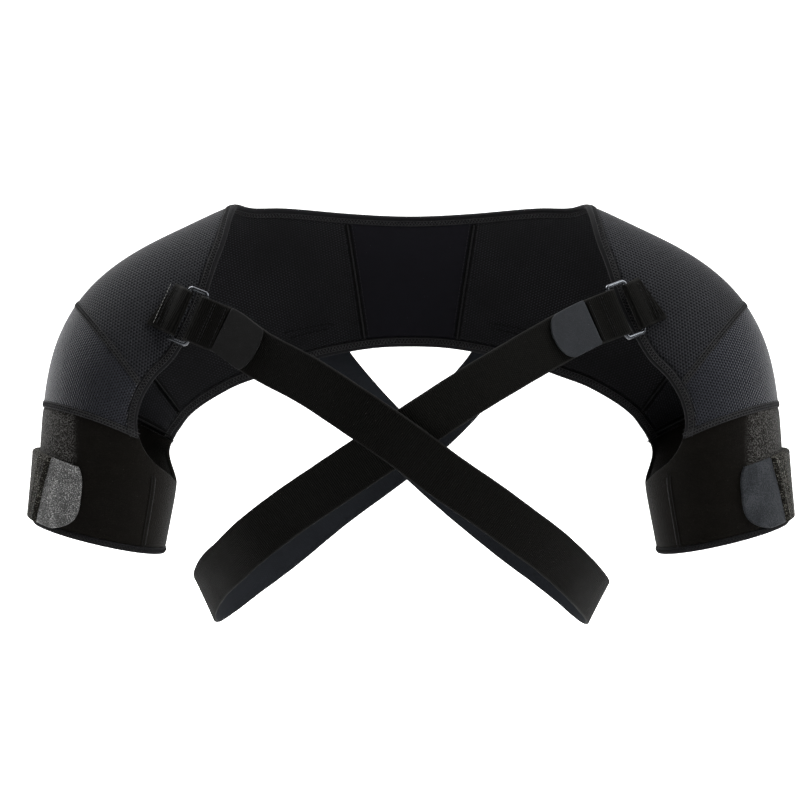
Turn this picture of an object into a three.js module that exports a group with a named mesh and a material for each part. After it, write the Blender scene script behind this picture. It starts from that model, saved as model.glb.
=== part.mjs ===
import * as THREE from "three";

// Shoulder brace, as worn: back, both shoulders, two cuffs and two straps crossed over the chest.
// Millimetres, +Z up, +X to the viewer's right, the chest towards -Y.
// The origin is on the shoulder line, midway between the arms.

// Driving dimensions
const halfSpan = 257; // mid-line to the outer side of a cuff
const bodyHeight = 250; // neck edge to the lower edge of the cuffs
const backDepth = 87; // shoulder line to the outer face of the back
const neopreneWall = 3;
const gap = 0.3; // between neighbouring pieces
const hemWidth = 7;
const hemRise = 0.4; // a hem stands this proud of the panels, on both faces
const cuffHemWidth = 4.5;
const cuffStrapWall = 4.3;
const hookTabWall = 1.5;
const strapWidth = 32;
const strapWall = 2;
const ringPlay = 8; // the ring is this much longer than the strap is wide
const ringLength = strapWidth + ringPlay;
const ringWidth = 17.3;
const ringWire = 3;
const ringCorner = 2.2;
const anchorWall = 1.4; // one layer of the folded loop
const anchorReach = 13.6; // ring bar to the sewn end
const foldReach = 19; // ring bar to the seam of the hook tab
const strapTabReach = 51; // ring bar to the rounded end of the hook tab

const degrees = Math.PI / 180;

// Cross-sections of the body, a fan of ellipses: middle, panel seam, shoulder blade, neck corner,
// shoulder top, collar, front slope, cap seam, upper arm, cuff seam, underarm, cuff middle, cuff edge.
// Each runs from its root, towards the chest or the armpit, to its crest on the outside.
// centre: the ellipse's centre between the two; middle and half: its place and half size in depth.
const sections = [
  { rootX: 0, rootZ: -0.155, crestX: 0, crestZ: 0.304, centre: 0.05, middle: 0.25, half: 0.71 },
  { rootX: 0.11, rootZ: -0.156, crestX: 0.187, crestZ: 0.299, centre: 0.05, middle: 0.26, half: 0.71 },
  { rootX: 0.275, rootZ: -0.19, crestX: 0.354, crestZ: 0.293, centre: 0.05, middle: 0.28, half: 0.71 },
  { rootX: 0.406, rootZ: -0.231, crestX: 0.48, crestZ: 0.257, centre: 0.06, middle: 0.25, half: 0.71 },
  { rootX: 0.487, rootZ: -0.272, crestX: 0.586, crestZ: 0.203, centre: 0.08, middle: 0.21, half: 0.7 },
  { rootX: 0.561, rootZ: -0.314, crestX: 0.7, crestZ: 0.15, centre: 0.15, middle: 0.14, half: 0.69 },
  { rootX: 0.603, rootZ: -0.344, crestX: 0.804, crestZ: 0.083, centre: 0.25, middle: 0.07, half: 0.68 },
  { rootX: 0.627, rootZ: -0.374, crestX: 0.888, crestZ: -0.005, centre: 0.36, middle: 0.02, half: 0.67 },
  { rootX: 0.64, rootZ: -0.406, crestX: 0.95, crestZ: -0.13, centre: 0.45, middle: 0, half: 0.66 },
  { rootX: 0.64, rootZ: -0.441, crestX: 0.974, crestZ: -0.286, centre: 0.48, middle: 0, half: 0.63 },
  { rootX: 0.616, rootZ: -0.49, crestX: 0.98, crestZ: -0.381, centre: 0.5, middle: 0, half: 0.61 },
  { rootX: 0.633, rootZ: -0.578, crestX: 0.988, crestZ: -0.485, centre: 0.5, middle: 0, half: 0.59 },
  { rootX: 0.654, rootZ: -0.69, crestX: 1, crestZ: -0.605, centre: 0.5, middle: 0, half: 0.57 },
];
const lastSection = sections.length - 1;

// The two free edges, as points on the sections: angle 0 on the crest, 90 at the back, -90 at the chest
const edges = {
  neck: [
    { section: 0, angle: 35.3 },
    { section: 1, angle: 32.4 },
    { section: 2, angle: 25 },
    { section: 2.6, angle: 18.5 },
    { section: 2.86, angle: 6 },
    { section: 2.97, angle: -14 },
    { section: 3.2, angle: -33 },
    { section: 3.5, angle: -44.1 },
    { section: 4, angle: -58.4 },
    { section: 5, angle: -74.6 },
    { section: 6, angle: -83.6 },
    { section: 7, angle: -95.4 },
    { section: 8, angle: -111.3 },
    { section: 9, angle: -133.6 },
    { section: 9.5, angle: -154 },
    { section: 9.8, angle: -167 },
    { section: 9.95, angle: -175 },
    { section: 10, angle: -180 },
  ],
  lower: [
    { section: 0, angle: 91.8 },
    { section: 2, angle: 92.3 },
    { section: 3, angle: 93.2 },
    { section: 4, angle: 94.1 },
    { section: 5, angle: 99.1 },
    { section: 6, angle: 108.6 },
    { section: 7, angle: 123.3 },
    { section: 8, angle: 140.4 },
    { section: 9, angle: 153.2 },
    { section: 9.5, angle: 160 },
    { section: 9.8, angle: 168 },
    { section: 9.95, angle: 175 },
    { section: 10, angle: 180 },
  ],
};
const sectionPace = 20; // degrees round a section that measure about as much as one section onwards
const lineSteps = 480;
const underarm = 10; // from this section on, a cuff is a closed tube

// Seams between the panels: the section that each crosses on the crest, and how far it bends
// towards the middle a quarter turn round, in front and behind.
const seams = {
  panelSeam: { crest: 1, bend: 0 },
  capSeam: { crest: 7, bend: 0.45 },
  cuffSeam: { crest: 9.1, bend: 0.6 },
};

// Panels between seams, with the number of rows from one seam to the next
const panels = {
  back: { from: "panelSeam", to: "panelSeam", rows: 4, spansMiddle: true },
  shoulder: { from: "panelSeam", to: "capSeam", rows: 16 },
  cap: { from: "capSeam", to: "cuffSeam", rows: 5 },
};
const panelColumns = 20;
const cuffColumns = 24;
const cuffOpenRows = 6;
const cuffClosedRows = 4;
const cuffOpenShare = 0.6; // of the way from the cuff seam to the hem, at the underarm

// Routes of the two straps, as shares of halfSpan, backDepth and bodyHeight.
// lean: how far the band's upper edge tips outwards, in degrees.
const straps = {
  left: {
    hand: 1,
    ring: { across: -0.5775, high: -0.0412 },
    fall: 24,
    route: [
      { across: -0.395, deep: -0.86, high: -0.129, lean: -12 },
      { across: -0.262, deep: -1.085, high: -0.197, lean: -9 },
      { across: -0.152, deep: -1.235, high: -0.267, lean: -5 },
      { across: -0.029, deep: -1.295, high: -0.352, lean: -1 },
      { across: 0.09, deep: -1.295, high: -0.443, lean: 0 },
      { across: 0.197, deep: -1.25, high: -0.52, lean: 2 },
      { across: 0.28, deep: -1.17, high: -0.585, lean: 6 },
      { across: 0.357, deep: -1.03, high: -0.648, lean: 12 },
      { across: 0.428, deep: -0.78, high: -0.721, lean: 20 },
      { across: 0.47, deep: -0.46, high: -0.775, lean: 26 },
      { across: 0.494, deep: -0.09, high: -0.817, lean: 28 },
      { across: 0.492, deep: 0.25, high: -0.838, lean: 26 },
      { across: 0.467, deep: 0.56, high: -0.833, lean: 20 },
      { across: 0.424, deep: 0.8, high: -0.802, lean: 12 },
      { across: 0.365, deep: 0.95, high: -0.757, lean: 6 },
      { across: 0.28, deep: 1.04, high: -0.693, lean: 2 },
      { across: 0.1, deep: 1.1, high: -0.54, lean: 0 },
      { across: -0.073, deep: 1.075, high: -0.37, lean: 0 },
    ],
    sewn: [
      { across: -0.166, high: -0.262 },
      { across: -0.224, high: -0.185 },
      { across: -0.27, high: -0.08 },
    ],
  },
  right: {
    hand: -1,
    ring: { across: 0.5554, high: -0.0242 },
    fall: 23,
    route: [
      { across: 0.355, deep: -0.84, high: -0.105, lean: -12 },
      { across: 0.25, deep: -1.02, high: -0.163, lean: -9 },
      { across: 0.156, deep: -1.14, high: -0.218, lean: -5 },
      { across: 0.03, deep: -1.215, high: -0.3, lean: -1 },
      { across: -0.09, deep: -1.21, high: -0.382, lean: 0 },
      { across: -0.218, deep: -1.15, high: -0.472, lean: 2 },
      { across: -0.312, deep: -1.07, high: -0.54, lean: 6 },
      { across: -0.41, deep: -0.96, high: -0.62, lean: 12 },
      { across: -0.473, deep: -0.736, high: -0.686, lean: 18 },
      { across: -0.516, deep: -0.48, high: -0.735, lean: 24 },
      { across: -0.545, deep: -0.12, high: -0.795, lean: 26 },
      { across: -0.54, deep: 0.22, high: -0.83, lean: 24 },
      { across: -0.505, deep: 0.56, high: -0.822, lean: 18 },
      { across: -0.44, deep: 0.83, high: -0.78, lean: 10 },
      { across: -0.35, deep: 1.03, high: -0.716, lean: 4 },
      { across: -0.211, deep: 1.16, high: -0.6, lean: 0 },
      { across: -0.048, deep: 1.19, high: -0.475, lean: 0 },
      { across: 0.08, deep: 1.145, high: -0.365, lean: 0 },
    ],
    sewn: [
      { across: 0.166, high: -0.262 },
      { across: 0.224, high: -0.185 },
      { across: 0.27, high: -0.08 },
    ],
  },
};
const ringPitch = 26; // the ring tips this far off the shoulder, in degrees
const ringTwist = 0.4; // and follows this share of the shoulder's own slope

// Materials
const material = (color, roughness, metalness = 0) =>
  new THREE.MeshStandardMaterial({ color, roughness, metalness });
const smoothNeoprene = material(0x111216, 0.75);
const meshNeoprene = material(0x24262d, 0.8);
const capNeoprene = material(0x2a2d3a, 0.8);
const loopPile = material(0x17171a, 0.95);
const hemFabric = material(0x1b1c20, 0.85);
const stripPile = material(0x2b2926, 0.95);
const webbing = material(0x15161a, 0.7);
const tabMaterials = {
  cuff: { left: material(0x6e7072, 0.85), right: material(0x3d4349, 0.8) },
  strap: { left: material(0x222326, 0.8), right: material(0x3b3f44, 0.8) },
};
const gunmetal = material(0x3a3d42, 0.3, 0.9);

// Interpolation helpers
const mix = (from, to, share) => from + (to - from) * share;

function spreadEvenly(count) {
  return Array.from({ length: count + 1 }, (_, step) => step / count);
}

// A section past the middle or past the cuff is the mirror of the one inside.
function sectionRow(number) {
  if (number < 0) {
    const row = sections[-number];
    return { ...row, rootX: -row.rootX, crestX: -row.crestX };
  }
  if (number <= lastSection) {
    return sections[number];
  }
  const edge = sections[lastSection];
  const inner = sections[2 * lastSection - number];
  const row = {};
  for (const key of Object.keys(edge)) {
    row[key] = 2 * edge[key] - inner[key];
  }
  return row;
}

// Uniform cubic B-spline through the section table
function sectionAt(station) {
  const first = Math.min(Math.floor(station), lastSection);
  const share = station - first;
  const weights = [
    (1 - share) ** 3 / 6,
    (3 * share ** 3 - 6 * share ** 2 + 4) / 6,
    (-3 * share ** 3 + 3 * share ** 2 + 3 * share + 1) / 6,
    share ** 3 / 6,
  ];
  const blended = { rootX: 0, rootZ: 0, crestX: 0, crestZ: 0, centre: 0, middle: 0, half: 0 };
  weights.forEach((weight, step) => {
    const row = sectionRow(first - 1 + step);
    for (const key of Object.keys(blended)) {
      blended[key] += weight * row[key];
    }
  });
  return blended;
}

// Outer face of the body; a negative station is on the left.
function bodyFace(station, angle) {
  const row = sectionAt(Math.abs(station));
  const root = new THREE.Vector2(row.rootX * halfSpan, row.rootZ * bodyHeight);
  const crest = new THREE.Vector2(row.crestX * halfSpan, row.crestZ * bodyHeight);
  const reach = mix(row.centre, 1, Math.cos(angle * degrees));
  const place = root.lerp(crest, reach);
  const deep = (row.middle + row.half * Math.sin(angle * degrees)) * backDepth;
  return new THREE.Vector3(station < 0 ? -place.x : place.x, deep, place.y);
}

const stationStep = 0.02;
const angleStep = 1;

function bodyNormal(station, angle) {
  const along = bodyFace(station + stationStep, angle).sub(bodyFace(station - stationStep, angle));
  const round = bodyFace(station, angle + angleStep).sub(bodyFace(station, angle - angleStep));
  return along.cross(round).normalize();
}

function bodyPoint(station, angle, lift) {
  return bodyFace(station, angle).addScaledVector(bodyNormal(station, angle), lift);
}

// Place a given distance further along the cloth, away from the middle
function stationAlong(station, angle, distance) {
  const pace = bodyFace(station + stationStep, angle).distanceTo(bodyFace(station - stationStep, angle));
  return station + (distance * 2 * stationStep) / pace;
}

// Adds to each place on a line its distance from the line's start.
function measured(line) {
  let length = 0;
  return line.map((place, number) => {
    const point = bodyFace(place.station, place.angle);
    if (number > 0) {
      const before = line[number - 1];
      length += point.distanceTo(bodyFace(before.station, before.angle));
    }
    return { ...place, length };
  });
}

// Free edge from one underarm to the other, as stations and angles
function edgeLine(edge) {
  const right = edges[edge].map((row) => new THREE.Vector3(row.section * sectionPace, row.angle, 0));
  const left = right.slice(1).map((point) => new THREE.Vector3(-point.x, point.y, 0));
  const curve = new THREE.CatmullRomCurve3([...left.reverse(), ...right]);
  return curve.getPoints(lineSteps).map((point) => ({ station: point.x / sectionPace, angle: point.y }));
}

// The line that runs a given distance inside an edge
function insetLine(edge, inset) {
  const line = edgeLine(edge);
  const inwards = edge === "neck" ? 1 : -1;
  const shifted = line.map(({ station, angle }, number) => {
    const before = line[Math.max(number - 1, 0)];
    const after = line[Math.min(number + 1, line.length - 1)];
    const tangent = bodyFace(after.station, after.angle).sub(bodyFace(before.station, before.angle));
    const step = bodyNormal(station, angle).cross(tangent).setLength(inwards * inset);
    const here = bodyFace(station, angle);
    const byStation = bodyFace(station + stationStep, angle).sub(here).divideScalar(stationStep);
    const byAngle = bodyFace(station, angle + angleStep).sub(here).divideScalar(angleStep);
    const [a, b, c] = [byStation.dot(byStation), byStation.dot(byAngle), byAngle.dot(byAngle)];
    const [p, q] = [step.dot(byStation), step.dot(byAngle)];
    const area = a * c - b * b;
    return { station: station + (p * c - q * b) / area, angle: angle + (q * a - p * b) / area };
  });
  return measured(inset ? shifted : line);
}

const lines = {};
for (const edge of Object.keys(edges)) {
  lines[edge] = {
    edge: insetLine(edge, 0),
    hem: insetLine(edge, hemWidth),
    panel: insetLine(edge, hemWidth + gap),
  };
}

function placeOnLine(line, length) {
  let number = 1;
  while (number < line.length - 1 && line[number].length < length) {
    number += 1;
  }
  const [from, to] = [line[number - 1], line[number]];
  const share = (length - from.length) / (to.length - from.length);
  return { station: mix(from.station, to.station, share), angle: mix(from.angle, to.angle, share) };
}

// Station of a seam at an angle, bent towards the middle in front and behind
function seamStation(name, angle) {
  const seam = seams[name];
  return seam.crest - seam.bend * Math.min(Math.abs(angle) / 90, 2) ** 1.4;
}

// Length along a line where it crosses a seam on the right
function seamLength(line, name) {
  const past = (place) => place.station - seamStation(name, place.angle);
  let number = line.length / 2 + 0.5;
  while (past(line[number]) < 0) {
    number += 1;
  }
  const [from, to] = [line[number - 1], line[number]];
  return mix(from.length, to.length, past(from) / (past(from) - past(to)));
}

// Place on a line at a share of the way through a panel, or short of it
function placeInPanel(line, panel, share, shortBy = 0) {
  const end = seamLength(line, panel.to);
  const start = panel.spansMiddle ? line[line.length - 1].length - end : seamLength(line, panel.from);
  return placeOnLine(line, mix(start, end, share) - shortBy);
}

// Station and angle in a row between two ends, bent as much as the seam
function rowPlace(ends, seam, bending, share) {
  const angle = mix(ends[0].angle, ends[1].angle, share);
  const straight = mix(seamStation(seam, ends[0].angle), seamStation(seam, ends[1].angle), share);
  const bend = seamStation(seam, angle) - straight;
  return { station: mix(ends[0].station, ends[1].station, share) + bending * bend, angle };
}

// Closed solid between two faces of a grid. From closedFrom on, the last column is the first one again.
function shell({ rows, columns, point, closedFrom = Infinity }) {
  const positions = [];
  const index = [];
  const faces = [1, 0].map((face) => {
    const grid = [];
    for (let row = 0; row <= rows; row += 1) {
      const line = [];
      for (let column = 0; column <= columns; column += 1) {
        if (column === columns && row >= closedFrom) {
          line.push(line[0]);
        } else {
          line.push(positions.length / 3);
          positions.push(...point(row, column, face).toArray());
        }
      }
      grid.push(line);
    }
    return grid;
  });
  const [outer, inner] = faces;
  const quad = (a, b, c, d) => index.push(a, b, c, a, c, d);
  for (let row = 0; row < rows; row += 1) {
    for (let column = 0; column < columns; column += 1) {
      quad(outer[row][column], outer[row + 1][column], outer[row + 1][column + 1], outer[row][column + 1]);
      quad(inner[row][column], inner[row][column + 1], inner[row + 1][column + 1], inner[row + 1][column]);
    }
    if (row < closedFrom) {
      quad(inner[row][0], inner[row + 1][0], outer[row + 1][0], outer[row][0]);
      quad(inner[row][columns], outer[row][columns], outer[row + 1][columns], inner[row + 1][columns]);
    }
  }
  for (let column = 0; column < columns; column += 1) {
    quad(outer[0][column], outer[0][column + 1], inner[0][column + 1], inner[0][column]);
    quad(outer[rows][column], inner[rows][column], inner[rows][column + 1], outer[rows][column + 1]);
  }
  return facingOut(positions, index);
}

// Indexed geometry, turned if its triangles face inwards
function facingOut(positions, index) {
  const corners = [new THREE.Vector3(), new THREE.Vector3(), new THREE.Vector3()];
  let volume = 0;
  for (let first = 0; first < index.length; first += 3) {
    corners.forEach((corner, step) => corner.fromArray(positions, 3 * index[first + step]));
    volume += corners[0].dot(corners[1].cross(corners[2]));
  }
  const geometry = new THREE.BufferGeometry();
  geometry.setAttribute("position", new THREE.Float32BufferAttribute(positions, 3));
  geometry.setIndex(volume < 0 ? index.reverse() : index);
  geometry.computeVertexNormals();
  return geometry;
}

const brace = new THREE.Group();
brace.name = "shoulder_brace";

function add(name, geometry, meshMaterial) {
  const mesh = new THREE.Mesh(geometry, meshMaterial);
  mesh.name = name;
  brace.add(mesh);
}

const sides = { left: -1, right: 1 };

function addPanel(name, panel, side, meshMaterial) {
  const ends = spreadEvenly(panel.rows).map((share) => [
    placeInPanel(lines.neck.panel, panel, share),
    placeInPanel(lines.lower.panel, panel, share),
  ]);
  const point = (step, column, face) => {
    const row = side > 0 ? step : panel.rows - step;
    const share = column / panelColumns;
    const onwards = row / panel.rows;
    const first = rowPlace(ends[row], panel.from, (1 - onwards) * (panel.spansMiddle ? -1 : 1), share);
    const last = rowPlace(ends[row], panel.to, onwards, share);
    const middle = mix(ends[row][0].station, ends[row][1].station, share);
    let station = first.station + last.station - middle;
    if (row === 0) {
      station = stationAlong(station, first.angle, gap / 2);
    }
    if (row === panel.rows) {
      station = stationAlong(station, first.angle, -gap / 2);
    }
    return bodyPoint(side * station, first.angle, face ? 0 : -neopreneWall);
  };
  add(name, shell({ rows: panel.rows, columns: panelColumns, point }), meshMaterial);
}

// Hem along one edge from cuff to cuff, with the panels' own rows
function addHem(name, edge) {
  const hemRows = (panel, shares, shortBy = 0) =>
    shares.map((share) => [
      placeInPanel(lines[edge].edge, panel, share, share === 1 ? shortBy : 0),
      placeInPanel(lines[edge].hem, panel, share, share === 1 ? shortBy : 0),
    ]);
  const middle = hemRows(panels.back, spreadEvenly(panels.back.rows).slice(1, -1));
  const shoulder = hemRows(panels.shoulder, spreadEvenly(panels.shoulder.rows));
  const cap = hemRows(panels.cap, spreadEvenly(panels.cap.rows).slice(1), 2 * gap);
  const right = [...shoulder, ...cap];
  const left = right.map((pair) => pair.map((place) => ({ ...place, station: -place.station })));
  const rows = [...left.reverse(), ...middle, ...right];
  const point = (row, column, face) => {
    const place = rows[row][column];
    return bodyPoint(place.station, place.angle, face ? hemRise : -neopreneWall - hemRise);
  };
  add(name, shell({ rows: rows.length - 1, columns: 1, point }), hemFabric);
}

// Cuff: open above the underarm, a tube below it
function addCuff(name, side) {
  const open = spreadEvenly(cuffOpenRows).map((share) => {
    const ends = ["neck", "lower"].map((edge) => {
      const line = lines[edge].edge;
      const start = seamLength(line, "cuffSeam");
      return placeOnLine(line, mix(start, line[line.length - 1].length, share));
    });
    return { ends, bending: 1 - cuffOpenShare * share, down: 0 };
  });
  const tube = [{ station: underarm, angle: -180 }, { station: underarm, angle: 180 }];
  const closed = spreadEvenly(cuffClosedRows).map((share) => {
    return { ends: tube, bending: (1 - cuffOpenShare) * (1 - share), down: share };
  });
  const rows = [...open.slice(0, -1), ...closed];
  const point = (row, column, face) => {
    const { ends, bending, down } = rows[row];
    const place = rowPlace(ends, "cuffSeam", bending, column / cuffColumns);
    const hemLine = stationAlong(lastSection, place.angle, -cuffHemWidth - gap);
    const first = row === 0 ? stationAlong(place.station, place.angle, gap / 2) : place.station;
    const station = mix(first, hemLine, down);
    return bodyPoint(side * station, place.angle, face ? 0 : -neopreneWall);
  };
  const closedFrom = open.length - 1;
  add(name, shell({ rows: rows.length - 1, columns: cuffColumns, point, closedFrom }), loopPile);
}

function addCuffHem(name, side) {
  const point = (row, column, face) => {
    const angle = mix(-180, 180, column / cuffColumns);
    const station = row ? lastSection : stationAlong(lastSection, angle, -cuffHemWidth);
    return bodyPoint(side * station, angle, face ? hemRise : -neopreneWall - hemRise);
  };
  add(name, shell({ rows: 1, columns: cuffColumns, point, closedFrom: 0 }), hemFabric);
}

// Closing strip and hook tab of a cuff, laid on the cuff between two stations
const closing = { top: 10.2, bottom: 11.9, back: 110, frontTop: -42, frontBottom: -27, tabFront: -74 };

function closingFront(share) {
  return mix(closing.frontTop, closing.frontBottom, share);
}

function addCuffStrap(name, side) {
  const rows = 4;
  const columns = 12;
  const base = hemRise + gap;
  const point = (row, column, face) => {
    const angle = mix(closingFront(row / rows), closing.back, column / columns);
    const station = mix(closing.top, closing.bottom, row / rows);
    return bodyPoint(side * station, angle, base + (face ? cuffStrapWall : 0));
  };
  add(name, shell({ rows, columns, point }), stripPile);
}

function addCuffTab(name, side, meshMaterial) {
  const rows = 8;
  const columns = 4;
  const base = hemRise + gap;
  const seamClearance = 0.6; // degrees, between the strip and its tab
  const point = (row, column, face) => {
    const share = row / rows;
    const front = closingFront(share) - seamClearance;
    const rounded = Math.sqrt(1 - (0.75 * (2 * share - 1)) ** 4);
    const reach = mix(front, closing.tabFront, rounded);
    const station = mix(closing.top, closing.bottom, share);
    return bodyPoint(side * station, mix(reach, front, column / columns), base + (face ? hookTabWall : 0));
  };
  add(name, shell({ rows, columns, point }), meshMaterial);
}

// Station and angle of the body that lie straight behind a place in the front view
function findOnBody(across, high, start) {
  const place = { ...start };
  const side = Math.sign(across);
  for (let pass = 0; pass < 30; pass += 1) {
    const here = bodyFace(place.station, place.angle);
    const byStation = bodyFace(place.station + stationStep, place.angle).sub(here).divideScalar(stationStep);
    const byAngle = bodyFace(place.station, place.angle + angleStep).sub(here).divideScalar(angleStep);
    const missAcross = Math.abs(across) - here.x;
    const missHigh = high - here.z;
    const area = byStation.x * byAngle.z - byStation.z * byAngle.x;
    place.station += THREE.MathUtils.clamp((missAcross * byAngle.z - missHigh * byAngle.x) / area, -0.5, 0.5);
    place.angle += THREE.MathUtils.clamp((byStation.x * missHigh - byStation.z * missAcross) / area, -20, 20);
  }
  return { station: side * place.station, angle: place.angle };
}

const chestStart = { station: 4.5, angle: -60 };
const backStart = { station: 2, angle: 80 };

function onChest(across, high, lift) {
  const place = findOnBody(across, high, chestStart);
  return bodyPoint(place.station, place.angle, lift);
}

// Frame of a ring: along towards the chest, across the strap, and out from the body
const anchorBase = hemRise + gap;
const foldRadius = ringWire / 2 + gap;
const barSpacing = ringWidth - ringWire;

function ringFrame(strap) {
  const across = strap.ring.across * halfSpan;
  const high = strap.ring.high * bodyHeight;
  const place = findOnBody(across, high, chestStart);
  const slope = bodyNormal(place.station, place.angle);
  const fall = strap.fall * degrees;
  const front = new THREE.Vector3(strap.hand * Math.cos(fall), 0, -Math.sin(fall));
  const onSlope = front.clone().addScaledVector(slope, -front.dot(slope));
  const width = slope.clone().cross(onSlope).multiplyScalar(strap.hand);
  width.setY(width.y * ringTwist).normalize();
  const flat = onSlope.addScaledVector(width, -onSlope.dot(width)).normalize();
  const normal = flat.clone().cross(width).multiplyScalar(strap.hand);
  const along = flat.clone().applyAxisAngle(width, -strap.hand * ringPitch * degrees);
  const out = along.clone().cross(width).multiplyScalar(strap.hand);
  const middle = bodyPoint(place.station, place.angle, 0).addScaledVector(flat, -barSpacing / 2);
  const seats = [-1, -0.5, 0, 0.5, 1].map((end) => {
    const under = middle.clone().addScaledVector(width, (end * ringLength) / 2);
    return onChest(under.x, under.z, anchorBase).sub(under).dot(normal);
  });
  const outerBar = middle.addScaledVector(normal, Math.max(...seats) + anchorWall + foldRadius);
  const innerBar = outerBar.clone().addScaledVector(along, barSpacing);
  return { normal, flat, width, along, out, outerBar, innerBar };
}

function addRing(name, frame) {
  const sidesOfWire = 8;
  const halfLength = (ringLength - ringWire) / 2 - ringCorner;
  const halfWidth = barSpacing / 2 - ringCorner;
  const centre = frame.outerBar.clone().add(frame.innerBar).multiplyScalar(0.5);
  const signs = [[1, 1], [-1, 1], [-1, -1], [1, -1]];
  const stations = [];
  signs.forEach(([widthSign, alongSign], corner) => {
    for (const share of spreadEvenly(4)) {
      const angle = (corner + share) * 90 * degrees;
      const outwards = frame.width.clone().multiplyScalar(Math.cos(angle));
      outwards.addScaledVector(frame.along, Math.sin(angle));
      const middle = centre.clone();
      middle.addScaledVector(frame.width, widthSign * halfLength);
      middle.addScaledVector(frame.along, alongSign * halfWidth);
      middle.addScaledVector(outwards, ringCorner);
      stations.push({ middle, outwards });
    }
  });
  const positions = [];
  const index = [];
  stations.forEach(({ middle, outwards }, row) => {
    for (let column = 0; column < sidesOfWire; column += 1) {
      const turn = (column / sidesOfWire) * 360 * degrees;
      const point = middle.clone();
      point.addScaledVector(outwards, (ringWire / 2) * Math.cos(turn));
      point.addScaledVector(frame.out, (ringWire / 2) * Math.sin(turn));
      positions.push(...point.toArray());
      const next = ((row + 1) % stations.length) * sidesOfWire;
      const beside = (column + 1) % sidesOfWire;
      const here = row * sidesOfWire;
      index.push(here + column, next + column, next + beside, here + column, next + beside, here + beside);
    }
  });
  add(name, facingOut(positions, index), gunmetal);
}

// Ribbon along stations that each have a middle, a width direction and a half width
function ribbon(stations, thickness, hand) {
  const normals = stations.map((station, row) => {
    const before = stations[Math.max(row - 1, 0)].middle;
    const after = stations[Math.min(row + 1, stations.length - 1)].middle;
    const tangent = after.clone().sub(before).normalize();
    return tangent.cross(station.width).multiplyScalar(hand).normalize();
  });
  const point = (row, column, face) => {
    const { middle, width, halfWidth } = stations[row];
    const corner = middle.clone().addScaledVector(width, (column * 2 - 1) * halfWidth);
    return corner.addScaledVector(normals[row], (face - 0.5) * thickness);
  };
  return shell({ rows: stations.length - 1, columns: 1, point });
}

// Webbing loop: a flat sewn end on the shoulder, folded round the ring's outer bar
function addAnchor(name, frame, strap) {
  const foldMiddle = foldRadius + anchorWall / 2;
  const layerLift = anchorWall + gap;
  const profile = [
    { along: -anchorReach, lift: layerLift },
    { along: -anchorReach * 0.6, lift: layerLift },
    { along: -foldMiddle * 1.6, lift: foldMiddle * 1.8 },
    { along: -foldMiddle * 0.75, lift: foldMiddle * 2 },
  ];
  for (const share of spreadEvenly(6)) {
    const turn = (90 - 180 * share) * degrees;
    profile.push({ along: foldMiddle * Math.cos(turn), lift: foldMiddle * (1 + Math.sin(turn)) });
  }
  profile.push({ along: -anchorReach * 0.5, lift: 0 }, { along: -anchorReach, lift: 0 });
  const floor = frame.outerBar.clone().addScaledVector(frame.normal, -foldMiddle);
  const stations = profile.map(({ along, lift }) => {
    const settle = THREE.MathUtils.clamp(-along / anchorReach, 0, 1);
    const ends = [-1, 1].map((end) => {
      const flat = floor.clone().addScaledVector(frame.flat, along);
      flat.addScaledVector(frame.width, (end * strapWidth) / 2);
      const seated = onChest(flat.x, flat.z, anchorBase + anchorWall / 2);
      return flat.lerp(seated, settle).addScaledVector(frame.normal, lift);
    });
    const middle = ends[0].clone().lerp(ends[1], 0.5);
    const width = ends[1].clone().sub(ends[0]).normalize();
    return { middle, width, halfWidth: ends[0].distanceTo(ends[1]) / 2 };
  });
  add(name, ribbon(stations, anchorWall, strap.hand), webbing);
}

const runStart = 8; // the control point where a strap leaves its ring
const runReach = foldReach * 0.5;

// Control points of a strap: hook tab seam, fold round the inner bar, route, sewn end
function strapControls(strap, frame) {
  const foldMiddle = foldRadius + strapWall / 2;
  const layer = strapWall + gap;
  const controls = [];
  const addLocal = (along, out) => {
    const middle = frame.innerBar.clone().addScaledVector(frame.along, along).addScaledVector(frame.out, out);
    controls.push({ middle, width: frame.width });
  };
  addLocal(foldReach, layer - foldMiddle);
  addLocal(foldReach * 0.7, layer - foldMiddle);
  addLocal(foldReach * 0.4, foldMiddle * 0.35);
  for (const share of spreadEvenly(4)) {
    const turn = (90 + 180 * share) * degrees;
    addLocal(foldMiddle * Math.cos(turn), foldMiddle * Math.sin(turn));
  }
  addLocal(runReach, -foldMiddle);
  addLocal(foldReach * 1.2, -foldMiddle);
  for (const row of strap.route) {
    const middle = new THREE.Vector3(row.across * halfSpan, row.deep * backDepth, row.high * bodyHeight);
    controls.push({ middle, lean: row.lean });
  }
  const sewnLift = hemRise + 2 * gap + strapWall / 2;
  for (const row of strap.sewn) {
    const place = findOnBody(row.across * halfSpan, row.high * bodyHeight, backStart);
    const normal = bodyNormal(place.station, place.angle);
    controls.push({ middle: bodyPoint(place.station, place.angle, sewnLift), normal });
  }
  const curve = new THREE.CatmullRomCurve3(controls.map((control) => control.middle));
  controls.forEach((control, number) => {
    if (control.width) {
      return;
    }
    const tangent = curve.getTangent(number / (controls.length - 1));
    if (control.normal) {
      control.width = control.normal.clone().cross(tangent).multiplyScalar(strap.hand).normalize();
      return;
    }
    const up = new THREE.Vector3(0, 0, 1).addScaledVector(tangent, -tangent.z).normalize();
    control.width = up.applyAxisAngle(tangent, strap.hand * control.lean * degrees);
  });
  return { curve, controls };
}

const stepsPerControl = 2;

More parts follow.
